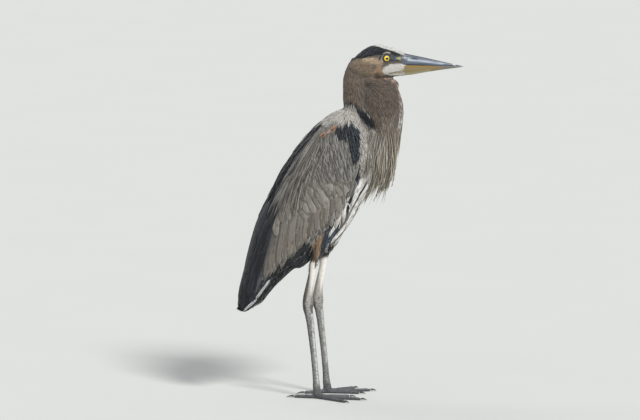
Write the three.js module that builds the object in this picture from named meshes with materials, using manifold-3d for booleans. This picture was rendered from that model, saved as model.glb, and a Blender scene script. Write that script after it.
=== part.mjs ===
// A great blue heron (Ardea herodias), life size, standing at rest with its neck folded.
// Millimetres. +X is the way the bird faces, +Y is its left side, +Z is up. The soles stand on Z = 0.
import * as THREE from "three";
import { mergeVertices } from "three/addons/utils/BufferGeometryUtils.js";
import Module from "manifold-3d";

const wasm = await Module();
wasm.setup();

// ---------------------------------------------------------------- driving dimensions
const GAP = 0.45; // clearance between neighbouring pieces
const FOOT_SPREAD = 38; // each foot stands this far from the middle plane
const HIP_SPREAD = 33;
const LEFT_LEG_LEAD = 22; // the left leg stands this far ahead of the right one
const TOE_OUT = 16; // degrees that each foot turns outwards
const ANKLE_X = -71; // the right foot's middle
const HEEL_X = -92;
const HEEL_Z = 206;
const THIGH_END_Z = 303;
const FOOT_TOP_Z = 21;
const EYE = { x: 78.7, y: 12.0, z: 749.6, radius: 8.3 };
const WING_DEPTH = 9.5; // thickness of a folded wing over the flank
const WING_RIM = 2.6; // and along its edge
const MANTLE = 25; // half the width of the back that shows between the wings, at the shoulders
const PLUMES = 8;
const TOES = [
  { name: "inner", length: 72, turn: 27, claw: 13 },
  { name: "middle", length: 99, turn: 0, claw: 13 },
  { name: "outer", length: 86, turn: -30, claw: 12 },
  { name: "hind", length: 52, turn: 184, claw: 17 },
];

// Side-view stations, back to front: [back x, back z, front x, front z, half width, lean].
// Lean above 0 makes the back of the section wider than its front.
const BODY = [
  [-8.2, 641.7, 5.0, 643.9, 9, 0],
  [-25.9, 636.1, 24.8, 621.7, 50, 0.05],
  [-47.9, 626.2, 40.2, 590.7, 68, 0.1],
  [-72.1, 606.2, 57.8, 550.8, 75, 0.12],
  [-97.5, 579.6, 70.2, 513.1, 77, 0.14],
  [-123.0, 548.6, 60.2, 475.4, 76, 0.15],
  [-148.0, 510.9, 35.8, 437.8, 73, 0.15],
  [-172.0, 467.0, 16.0, 404.5, 68, 0.15],
  [-194.0, 423.0, -8.2, 366.8, 61, 0.15],
  [-210.5, 379.0, -39.1, 333.6, 53, 0.12],
  [-223.5, 330.5, -74.2, 311.4, 45, 0.1],
  [-234.0, 285.5, -113.9, 284.8, 37, 0.05],
  [-244.0, 247.5, -153.5, 249.4, 30, 0],
  [-249.2, 213.9, -186.5, 213.9, 22, 0],
  [-249.4, 190.0, -228.3, 186.5, 11, 0],
];
const TAIL = [
  [-92.0, 331.0, -79.0, 319.0, 15, 0],
  [-119.0, 313.0, -100.0, 300.0, 22, 0],
  [-148.0, 291.0, -127.0, 278.0, 24, 0],
  [-173.0, 270.0, -151.0, 256.5, 25, 0],
  [-196.0, 249.0, -172.0, 235.0, 27, 0],
  [-215.0, 228.0, -188.0, 212.5, 28, 0],
  [-228.0, 211.0, -206.0, 198.5, 20, 0],
];
const HEAD = [
  [128.0, 757.4, 122.6, 709.6, 9.8, 0],
  [108.4, 767.4, 106.2, 708.2, 12.6, -0.05],
  [88.6, 775.3, 88.6, 706.8, 16.2, -0.1],
  [68.8, 780.2, 68.8, 705.0, 20.0, -0.1],
  [49.0, 777.3, 51.2, 702.7, 22.6, -0.08],
  [29.2, 768.0, 35.8, 701.6, 23.4, 0],
  [11.6, 753.6, 24.8, 702.7, 22.2, 0],
  [-1.7, 738.1, 16.0, 704.0, 19.0, 0],
  [-8.2, 723.7, 5.2, 711.6, 11.0, 0],
];
const NAPE = [
  [5.0, 752.5, 53.4, 719.3, 12, 0],
  [-8.2, 732.6, 44.6, 706.2, 18, 0],
  [-17.1, 708.2, 38.0, 690.7, 20, 0],
  [-18.2, 679.4, 35.8, 670.5, 21, 0],
  [-17.1, 648.3, 42.4, 641.7, 23, 0],
  [-10.5, 617.3, 57.8, 604.4, 26, 0],
  [5.0, 590.7, 66.6, 575.8, 24, 0],
];
const FORENECK = [
  [50.8, 699.0, 76.8, 702.0, 9, 0],
  [37.8, 688.2, 97.6, 694.5, 21, 0],
  [29.2, 670.5, 108.4, 677.4, 27, -0.05],
  [25.0, 650.5, 115.6, 656.2, 31, -0.08],
  [23.0, 628.4, 119.4, 633.0, 34, -0.1],
  [20.8, 604.0, 119.4, 607.4, 37, -0.08],
  [18.6, 577.4, 115.0, 573.2, 40, 0],
  [20.8, 548.6, 106.1, 540.9, 41, 0],
  [28.4, 522.0, 93.0, 508.9, 37, 0],
  [42.6, 497.6, 73.4, 486.7, 22, 0],
];
const UPPER_BILL = [
  [112.0, 762.5, 110.0, 736.3, 10.6, -0.1],
  [124.0, 758.6, 122.0, 734.5, 10.2, -0.15],
  [138.0, 755.8, 138.0, 734.2, 8.6, -0.2],
  [165.0, 750.2, 165.0, 733.2, 6.6, -0.2],
  [195.0, 743.2, 195.0, 731.9, 4.8, -0.15],
  [222.0, 737.0, 222.0, 730.9, 3.0, 0],
  [241.0, 732.8, 241.0, 730.3, 1.5, 0],
  [249.4, 730.9, 249.3, 729.9, 0.5, 0],
];
const LOWER_BILL = [
  [110.0, 735.8, 112.0, 709.2, 10.4, 0.1],
  [122.0, 734.0, 124.0, 709.9, 9.8, 0.15],
  [138.0, 733.7, 138.0, 711.9, 8.2, 0.2],
  [165.0, 732.7, 165.0, 717.4, 6.2, 0.25],
  [195.0, 731.4, 195.0, 722.3, 4.4, 0.2],
  [222.0, 730.4, 222.0, 726.2, 2.6, 0],
  [238.0, 729.9, 238.0, 728.1, 1.2, 0],
  [244.0, 729.6, 244.0, 728.9, 0.5, 0],
];
// The folded wing's edge in the side view: from the shoulder down its front edge to the tip.
const WING_FRONT = [
  [-30.3, 621.7],
  [-3.9, 617.3],
  [16.0, 604.0],
  [22.6, 581.8],
  [20.4, 546.4],
  [12.7, 510.9],
  [3.9, 475.4],
  [-8.2, 428.9],
  [-28.1, 386.8],
  [-46.8, 364.6],
  [-69.9, 346.9],
  [-85.7, 330.7],
  [-113.9, 307.0],
  [-142.5, 284.8],
  [-173.2, 256.0],
  [-203.0, 220.0],
  [-212.0, 196.0],
  [-234.0, 184.0],
];
// The rest of the outline runs clear of the back, so that the back's own curve is the wing's edge.
const WING_BEHIND = [
  [-262.0, 170.0],
  [-285.0, 260.0],
  [-210.0, 480.0],
  [-130.0, 610.0],
  [-75.0, 650.0],
];
// Where the dark flight feathers come out from under the coverts: a point on the cut, and its normal.
const QUILL_CUT = { x: -167, z: 334, nx: -0.86, nz: -0.51 };
// The back between the wings: [distance down the back, half width].
const MANTLE_EDGE = [
  [-90, MANTLE + 3],
  [0, MANTLE],
  [90, MANTLE * 0.8],
  [180, MANTLE * 0.5],
  [265, MANTLE * 0.12],
  [300, 0.35],
  [560, 0.35],
];
const BACK_START = { x: -40, z: 631, slope: 62 }; // degrees below level, the line of the back

// Stations of a limb: [x, y, z, half depth front to back, half width].
const LEG = [
  [-44, -HIP_SPREAD + 16, 398, 16, 8],
  [-52, -HIP_SPREAD + 7, 372, 23, 12],
  [-62, -HIP_SPREAD + 2, 344, 20, 13],
  [-73, -HIP_SPREAD, 318, 13.4, 10.5],
  [-79, -HIP_SPREAD, 302, 8.4, 7.4],
  [-82, -HIP_SPREAD - 1, 280, 8.2, 6.2],
  [-88, -HIP_SPREAD - 2, 252, 8.6, 6.0],
  [-92, -HIP_SPREAD - 3, 226, 11.0, 7.2],
  [HEEL_X, -HIP_SPREAD - 3.5, HEEL_Z + 4, 12.6, 8.4],
  [HEEL_X, -HIP_SPREAD - 4, HEEL_Z - 8, 11.2, 8.0],
  [-89, -FOOT_SPREAD + 1, 184, 9.2, 6.4],
  [-84, -FOOT_SPREAD + 0.5, 140, 7.6, 5.4],
  [-78.5, -FOOT_SPREAD, 90, 7.0, 5.0],
  [-74.5, -FOOT_SPREAD, 45, 7.2, 5.5],
  [-73, -FOOT_SPREAD, 24, 8.6, 7.0],
  [ANKLE_X, -FOOT_SPREAD, 10, 9.4, 8.6],
  [ANKLE_X, -FOOT_SPREAD, 3, 7.0, 6.8],
];

// ---------------------------------------------------------------- shape helpers
// A closed surface through rings of points, each end closed by a fan about its middle.
function closedOver(rings) {
  const sides = rings[0].length;
  const points = rings.flat();
  const triangles = [];
  for (let r = 0; r + 1 < rings.length; r++) {
    for (let s = 0; s < sides; s++) {
      const next = (s + 1) % sides;
      const [a, b, c, d] = [r * sides + s, r * sides + next, (r + 1) * sides + next, (r + 1) * sides + s];
      triangles.push(a, b, c, a, c, d);
    }
  }
  for (const [ring, flip] of [[0, true], [rings.length - 1, false]]) {
    const middle = new THREE.Vector3();
    rings[ring].forEach((p) => middle.addScaledVector(p, 1 / sides));
    const centre = points.push(middle) - 1;
    for (let s = 0; s < sides; s++) {
      const edge = [ring * sides + s, ring * sides + ((s + 1) % sides)];
      triangles.push(...(flip ? edge.reverse() : edge), centre);
    }
  }
  const geometry = new THREE.BufferGeometry().setFromPoints(points);
  geometry.setIndex(triangles);
  return facingOut(geometry);
}

// Turns every triangle round if the surface encloses a negative volume.
function facingOut(geometry) {
  const at = geometry.getAttribute("position");
  const index = geometry.getIndex().array;
  const [a, b, c] = [new THREE.Vector3(), new THREE.Vector3(), new THREE.Vector3()];
  let volume = 0;
  for (let i = 0; i < index.length; i += 3) {
    [a, b, c].forEach((corner, k) => corner.fromBufferAttribute(at, index[i + k]));
    volume += a.dot(b.cross(c));
  }
  if (volume < 0) {
    for (let i = 0; i < index.length; i += 3) {
      [index[i + 1], index[i + 2]] = [index[i + 2], index[i + 1]];
    }
  }
  return geometry;
}

const smooth = (points) => new THREE.CatmullRomCurve3(points, false, "centripetal");

// A length of the body through side-view stations.
function lengthOver(stations, rings, sides) {
  const back = smooth(stations.map(([x, z]) => new THREE.Vector3(x, 0, z)));
  const front = smooth(stations.map(([, , x, z]) => new THREE.Vector3(x, 0, z)));
  const width = smooth(stations.map((s, i) => new THREE.Vector3(s[4], s[5] * 100, i)));
  const made = [];
  for (let r = 0; r <= rings; r++) {
    const [b, f, w] = [back, front, width].map((curve) => curve.getPoint(r / rings));
    const middle = b.clone().add(f).multiplyScalar(0.5);
    const half = b.clone().sub(f).multiplyScalar(0.5);
    made.push(
      Array.from({ length: sides }, (_, s) => {
        const turn = (2 * Math.PI * s) / sides;
        const across = w.x * Math.sin(turn) * (1 + (w.y / 100) * Math.cos(turn));
        return middle.clone().addScaledVector(half, Math.cos(turn)).setY(across);
      }),
    );
  }
  return closedOver(made);
}

// A limb, toe or plume along its middle line, with an oval section square to it.
function limbOver(stations, rings, sides) {
  const line = smooth(stations.map(([x, y, z]) => new THREE.Vector3(x, y, z)));
  const size = smooth(stations.map(([, , , depth, width], i) => new THREE.Vector3(depth, width, i)));
  const made = [];
  for (let r = 0; r <= rings; r++) {
    const t = r / rings;
    const along = line.getTangent(t);
    const side = new THREE.Vector3(0, 1, 0).addScaledVector(along, -along.y).normalize();
    const depth = new THREE.Vector3().crossVectors(side, along);
    const { x: halfDepth, y: halfWidth } = size.getPoint(t);
    made.push(
      Array.from({ length: sides }, (_, s) => {
        const turn = (2 * Math.PI * (s + 0.5)) / sides;
        return line
          .getPoint(t)
          .addScaledVector(depth, halfDepth * Math.cos(turn))
          .addScaledVector(side, halfWidth * Math.sin(turn));
      }),
    );
  }
  return closedOver(made);
}

// The same surface moved outwards along its normals.
function grown(geometry, by) {
  const copy = welded(geometry);
  copy.computeVertexNormals();
  const [at, normal] = [copy.getAttribute("position"), copy.getAttribute("normal")];
  for (let i = 0; i < at.count; i++) {
    const [x, y, z] = [at.getX(i), at.getY(i), at.getZ(i)];
    at.setXYZ(i, x + by * normal.getX(i), y + by * normal.getY(i), z + by * normal.getZ(i));
  }
  return copy;
}

function welded(geometry) {
  const copy = new THREE.BufferGeometry();
  copy.setAttribute("position", geometry.getAttribute("position").clone());
  if (geometry.getIndex()) copy.setIndex(geometry.getIndex().clone());
  return mergeVertices(copy, 1e-3);
}

// A surface of the right leg, or its mirror image in the middle plane moved ahead for the left leg.
function legSide(geometry, side) {
  if (side < 0) return geometry;
  return facingOut(welded(geometry).scale(1, -1, 1).translate(LEFT_LEG_LEAD, 0, 0));
}

function solid(geometry) {
  const { attributes, index } = welded(geometry);
  const triVerts = new Uint32Array(index.array);
  const vertProperties = attributes.position.array;
  return new wasm.Manifold(new wasm.Mesh({ numProp: 3, vertProperties, triVerts }));
}

function surface(made) {
  const { vertProperties, triVerts } = made.getMesh();
  const geometry = new THREE.BufferGeometry();
  geometry.setAttribute("position", new THREE.BufferAttribute(vertProperties, 3));
  return geometry.setIndex(new THREE.BufferAttribute(triVerts, 1));
}

const clearOf = (made, ...neighbours) =>
  neighbours.reduce((left, near) => left.subtract(solid(grown(near, GAP))), made);

// An outline in the side view, pushed through from one Y to another.
function throughPrism(outline, fromY, toY) {
  const shape = new THREE.Shape(outline.map(([x, z]) => new THREE.Vector2(x, z)));
  const prism = new THREE.ExtrudeGeometry(shape, { depth: toY - fromY, bevelEnabled: false });
  return solid(prism.rotateX(Math.PI / 2).translate(0, toY, 0));
}

// Everything on one side of a plane that is square to the side view.
function beyond(x, z, nx, nz) {
  const SIZE = 900;
  const block = new THREE.BoxGeometry(SIZE, SIZE, SIZE).translate(SIZE / 2, 0, 0);
  return solid(block.rotateY(-Math.atan2(nz, nx)).translate(x, 0, z));
}

const layer = (low, high) =>
  solid(new THREE.BoxGeometry(900, 900, high - low).translate(0, 0, (low + high) / 2));

// How far a side-view point lies inside an outline, in mm; less than 0 outside it.
function insideBy(outline, x, z) {
  let nearest = Infinity;
  let inside = false;
  outline.forEach(([x1, z1], i) => {
    const [x2, z2] = outline[(i + 1) % outline.length];
    const [dx, dz] = [x2 - x1, z2 - z1];
    const along = THREE.MathUtils.clamp(((x - x1) * dx + (z - z1) * dz) / (dx * dx + dz * dz), 0, 1);
    nearest = Math.min(nearest, Math.hypot(x - x1 - along * dx, z - z1 - along * dz));
    if (z1 > z !== z2 > z && x < x1 + (dx * (z - z1)) / dz) inside = !inside;
  });
  return inside ? nearest : -nearest;
}

// Half the width of the back between the wings, beside a side-view point.
function mantleAt(x, z) {
  const slope = THREE.MathUtils.degToRad(BACK_START.slope);
  const down = (BACK_START.x - x) * Math.cos(slope) + (BACK_START.z - z) * Math.sin(slope);
  const after = MANTLE_EDGE.findIndex(([distance]) => distance > down);
  if (after < 1) return MANTLE_EDGE[after === 0 ? 0 : MANTLE_EDGE.length - 1][1];
  const [[d1, w1], [d2, w2]] = [MANTLE_EDGE[after - 1], MANTLE_EDGE[after]];
  return THREE.MathUtils.lerp(w1, w2, (down - d1) / (d2 - d1));
}

// ---------------------------------------------------------------- trunk, wings and tail
const wingOutline = [...WING_FRONT, ...WING_BEHIND];
const outerBody = lengthOver(BODY, 23, 20);

// The trunk is the outer body sunk under each wing, deepest over the flank.
function trunkSurface() {
  const copy = welded(outerBody);
  copy.computeVertexNormals();
  const [at, normal] = [copy.getAttribute("position"), copy.getAttribute("normal")];
  for (let i = 0; i < at.count; i++) {
    const [x, y, z] = [at.getX(i), at.getY(i), at.getZ(i)];
    const inside = Math.min(insideBy(wingOutline, x, z), Math.abs(y) - mantleAt(x, z));
    const rim = WING_RIM * THREE.MathUtils.smoothstep(inside, -16, -1);
    const sink = rim + WING_DEPTH * THREE.MathUtils.smoothstep(inside, 0, 34);
    at.setXYZ(i, x - sink * normal.getX(i), y - sink * normal.getY(i), z - sink * normal.getZ(i));
  }
  return copy;
}

// The strip of back between the wings, as a wedge that the wings are cut by.
function mantleWedge() {
  const DEPTH = 62;
  const edge = MANTLE_EDGE.map(([down, half]) => new THREE.Vector2(down, half));
  const shape = new THREE.Shape([...edge, ...edge.map((p) => new THREE.Vector2(p.x, -p.y)).reverse()]);
  const wedge = new THREE.ExtrudeGeometry(shape, { depth: 2 * DEPTH, bevelEnabled: false });
  const turn = THREE.MathUtils.degToRad(180 - BACK_START.slope);
  return solid(wedge.translate(0, 0, -DEPTH).rotateY(turn).translate(BACK_START.x, 0, BACK_START.z));
}

const tailSurface = lengthOver(TAIL, 7, 10);
const headSurface = lengthOver(HEAD, 11, 14);
const napeSurface = lengthOver(NAPE, 8, 12);
const foreneckSurface = lengthOver(FORENECK, 13, 16);

const legSurface = (side) => legSide(limbOver(LEG, 23, 9), side);

const VENT = { x: -165, z: 330, nx: -0.72, nz: -0.69 };
const wholeTrunk = solid(trunkSurface()).subtract(beyond(VENT.x, VENT.z, VENT.nx, VENT.nz));

function makeWing(side) {
  const half = throughPrism(wingOutline, ...(side < 0 ? [-130, -0.35] : [0.35, 130]));
  const neighbours = [surface(wholeTrunk), tailSurface, legSurface(side)];
  const whole = clearOf(solid(outerBody).intersect(half), ...neighbours).subtract(mantleWedge());
  const { x, z, nx, nz } = QUILL_CUT;
  return {
    coverts: surface(whole.subtract(beyond(x, z, nx, nz))),
    quills: surface(whole.intersect(beyond(x + GAP * nx, z + GAP * nz, nx, nz))),
  };
}

// ---------------------------------------------------------------- neck and head
// Long feathers hang from the foot of the neck, joined to it at their roots.
function plumeSurface(i, count) {
  const f = i / (count - 1);
  const { lerp } = THREE.MathUtils;
  const y = 20 * Math.sin(2.4 * i);
  const tipZ = lerp(466, 440, f) + 8 * Math.sin(1.7 * i);
  const stations = [
    [lerp(99, 74, f), y * 0.8, 536 - 16 * f, 5, 5],
    [lerp(99, 73, f), y * 0.95, 505 - 14 * f, 3.6, 3],
    [lerp(97, 67, f), y, 482 - 14 * f, 2.2, 1.6],
    [lerp(92, 52, f), y * 0.9, tipZ, 0.6, 0.5],
  ];
  return limbOver(stations, 4, 4);
}

const plumeSurfaces = Array.from({ length: PLUMES }, (_, i) => plumeSurface(i, PLUMES));

const eyeSurface = (side) =>
  new THREE.SphereGeometry(EYE.radius, 11, 8).rotateX(Math.PI / 2).translate(EYE.x, side * EYE.y, EYE.z);

function makeHeadAndNeck() {
  const THROAT_CUT = { z: 604, slope: -0.06 };
  const head = clearOf(solid(headSurface), eyeSurface(1), eyeSurface(-1));
  const foreneck = clearOf(solid(foreneckSurface), headSurface);
  const below = beyond(70, THROAT_CUT.z, THROAT_CUT.slope, -1);
  const above = beyond(70, THROAT_CUT.z + GAP, -THROAT_CUT.slope, 1);
  return {
    head: surface(head),
    neck_nape: surface(clearOf(solid(napeSurface), headSurface, foreneckSurface)),
    neck_throat: surface(foreneck.intersect(above)),
    neck_breast: surface(plumeSurfaces.map(solid).reduce((a, b) => a.add(b), foreneck.intersect(below))),
    bill_upper: surface(clearOf(solid(lengthOver(UPPER_BILL, 9, 10)), headSurface)),
    bill_lower: surface(clearOf(solid(lengthOver(LOWER_BILL, 9, 10)), headSurface)),
  };
}

// ---------------------------------------------------------------- legs
// Stations of a toe that lies along +X from the foot's middle: thick at each joint, flat on the ground.
function toeStations({ length }) {
  const TOE_HEIGHT = 0.84; // the middle line's height, as a share of the half depth
  const sizes = [
    [0, 7.4],
    [0.14, 5.6],
    [0.3, 4.6],
    [0.38, 5.1],
    [0.5, 4.3],
    [0.64, 4.7],
    [0.78, 3.8],
    [0.92, 4.0],
    [1, 3.0],
  ];
  return sizes.map(([share, size]) => [share * length, 0, size * TOE_HEIGHT, size, size * 0.92]);
}

function clawStations({ length, claw }) {
  const from = length + 2 * GAP;
  return [
    [from, 0, 3.6, 2.9, 2.3],
    [from + claw * 0.35, 0, 4.0, 2.3, 1.8],
    [from + claw * 0.72, 0, 2.9, 1.5, 1.1],
    [from + claw, 0, 0.9, 0.6, 0.5],
  ];
}

const placedToe = (geometry, turn) =>
  geometry
    .rotateZ(THREE.MathUtils.degToRad(turn - TOE_OUT))
    .translate(ANKLE_X, -FOOT_SPREAD, 0);

function makeLeg(side, trunk) {
  const leg = solid(legSurface(side));
  const [RINGS, SIDES] = [7, 6];
  const toeSurface = (toe) => placedToe(limbOver(toeStations(toe), RINGS, SIDES), toe.turn);
  const toes = TOES.map((toe) => solid(legSide(toeSurface(toe), side)));
  const foot = toes.reduce((a, b) => a.add(b), leg.intersect(layer(-5, FOOT_TOP_Z)));
  const made = {
    thigh: surface(clearOf(leg.intersect(layer(THIGH_END_Z + GAP, 450)), trunk)),
    shank: surface(leg.intersect(layer(HEEL_Z + GAP, THIGH_END_Z))),
    tarsus: surface(leg.intersect(layer(FOOT_TOP_Z + GAP, HEEL_Z))),
    foot: surface(foot.intersect(layer(0, 60))),
  };
  for (const toe of TOES) {
    made["claw_" + toe.name] = legSide(placedToe(limbOver(clawStations(toe), 4, 5), toe.turn), side);
  }
  return made;
}

// ---------------------------------------------------------------- materials and assembly
const finish = (color, roughness) => new THREE.MeshStandardMaterial({ color, roughness, metalness: 0 });
const FINISH = {
  feathers: finish("#8d8a86", 0.85),
  neck: finish("#7d7168", 0.85),
  quills: finish("#31363f", 0.7),
  horn: finish("#59606b", 0.4),
  pale_horn: finish("#a79a62", 0.45),
  iris: finish("#e8c81e", 0.1),
  leg_skin: finish("#8b857a", 0.6),
  claw: finish("#2c2a29", 0.4),
};

const heron = new THREE.Group();

function place(name, geometry, material) {
  const mesh = new THREE.Mesh(geometry, material);
  mesh.name = name;
  heron.add(mesh);
}

function build() {
  const trunk = clearOf(wholeTrunk, tailSurface, napeSurface, foreneckSurface, ...plumeSurfaces);
  place("trunk", surface(trunk), FINISH.feathers);
  place("tail", tailSurface, FINISH.quills);
  const headAndNeck = makeHeadAndNeck();
  for (const [name, geometry] of Object.entries(headAndNeck)) {
    const material = { bill_upper: FINISH.horn, bill_lower: FINISH.pale_horn }[name] ?? FINISH.neck;
    place(name, geometry, material);
  }
  for (const [side, word] of [[-1, "_right"], [1, "_left"]]) {
    place("eye" + word, eyeSurface(side), FINISH.iris);
    const wing = makeWing(side);
    place("wing" + word, wing.coverts, FINISH.feathers);
    place("flight_feathers" + word, wing.quills, FINISH.quills);
    for (const [name, geometry] of Object.entries(makeLeg(side, surface(wholeTrunk)))) {
      let material = name.startsWith("claw") ? FINISH.claw : FINISH.leg_skin;
      if (name === "thigh") material = FINISH.feathers;
      place(name + word, geometry, material);
    }
  }
}

build();

export default heron;
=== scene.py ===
"""Looks of the standing great blue heron: skin, coat of feathers, bill, eyes, claws and a plain studio.

Every piece is made by an operator of its own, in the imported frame: metres, +X the way the bird faces,
+Y its left side, +Z up. Coat work is done in millimetres and scaled when a mesh is made.
"""

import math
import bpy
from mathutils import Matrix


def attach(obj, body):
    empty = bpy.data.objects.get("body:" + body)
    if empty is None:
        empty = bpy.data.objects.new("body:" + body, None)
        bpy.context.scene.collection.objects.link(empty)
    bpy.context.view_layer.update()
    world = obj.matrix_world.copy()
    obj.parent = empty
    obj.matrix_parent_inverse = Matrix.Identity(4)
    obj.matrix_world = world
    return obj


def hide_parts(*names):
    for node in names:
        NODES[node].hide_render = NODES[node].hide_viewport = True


bl_info = {
    "name": "Great Blue Heron",
    "version": (1, 0, 0),
    "blender": (4, 5, 0),
    "location": "View3D > Sidebar > Heron",
    "description": "Builds the skin, feathers, bill, eyes and claws of a standing great blue heron",
    "category": "Object",
}

from typing import NamedTuple

import bmesh
import bpy
import numpy as np
from mathutils import Matrix, Vector
from mathutils.bvhtree import BVHTree

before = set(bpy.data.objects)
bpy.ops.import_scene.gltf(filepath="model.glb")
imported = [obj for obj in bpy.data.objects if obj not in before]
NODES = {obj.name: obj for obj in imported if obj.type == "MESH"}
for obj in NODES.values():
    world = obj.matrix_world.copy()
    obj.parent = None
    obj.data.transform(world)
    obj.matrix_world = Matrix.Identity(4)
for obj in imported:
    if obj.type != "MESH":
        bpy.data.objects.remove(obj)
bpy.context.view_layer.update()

MM = 0.001
SAME = 1e-6  # m, points closer than this are joined
BODY = "root"
SIDES = {"right": -1.0, "left": 1.0}
CLAWS = ("inner", "middle", "outer", "hind")
PAIRED = ("wing", "flight_feathers", "thigh", "shank", "tarsus", "foot")
FLESH = ["trunk", "tail", "head", "neck_nape", "neck_throat", "neck_breast"]
FLESH += [part + "_" + side for side in SIDES for part in PAIRED]
EYE = Vector((78.7, 12.0, 749.6))
EYE_RADIUS = 8.3
GAZE = Vector((0.34, 0.94, 0.04)).normalized()  # the left eye's; the right one mirrors it


# ---------------------------------------------------------------- colour
def linear(hex_colour):
    """An sRGB hex colour as linear red, green and blue."""
    values = np.array([int(hex_colour[i : i + 2], 16) for i in (1, 3, 5)]) / 255
    return np.where(values <= 0.04045, values / 12.92, ((values + 0.055) / 1.055) ** 2.4)


class Stroke(NamedTuple):
    """Markings laid over the coat like brush strokes, in the side view and in millimetres."""

    colours: tuple  # one is picked for each feather
    path: tuple  # (x, z, half width) along the stroke
    soft: float  # how far its edge fades
    spread: tuple = (0.0, 200.0)  # the least and greatest distance from the middle plane


TAUPE = ("#786a5c", "#726557", "#7d6f61")
GREY = ("#aba69e", "#b0aba4", "#a6a199")
COVERT = ("#817d76", "#88847d", "#79756d")
SLATE = ("#15191f", "#1a1e27", "#111419")
WHITE = ("#f0eee9", "#e8e5df", "#f6f4f1", "#dcd8d1")
BUFF = ("#8c8477", "#7a7166", "#c0b49e", "#b0a48e", "#ded6c6", "#61584d", "#cfc4b0", "#a3998a")
FAWN = ("#a39c90", "#b3ada3", "#8c8478", "#c2bbae", "#7b7368")
WRIST = Stroke(
    ("#1c252e", "#252f39", "#161e26"),
    ((-17, 594, 8), (-5, 597, 14), (7, 590, 14.5), (12, 564, 10), (11, 546, 7), (10, 534, 3)), 3,
)

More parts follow.
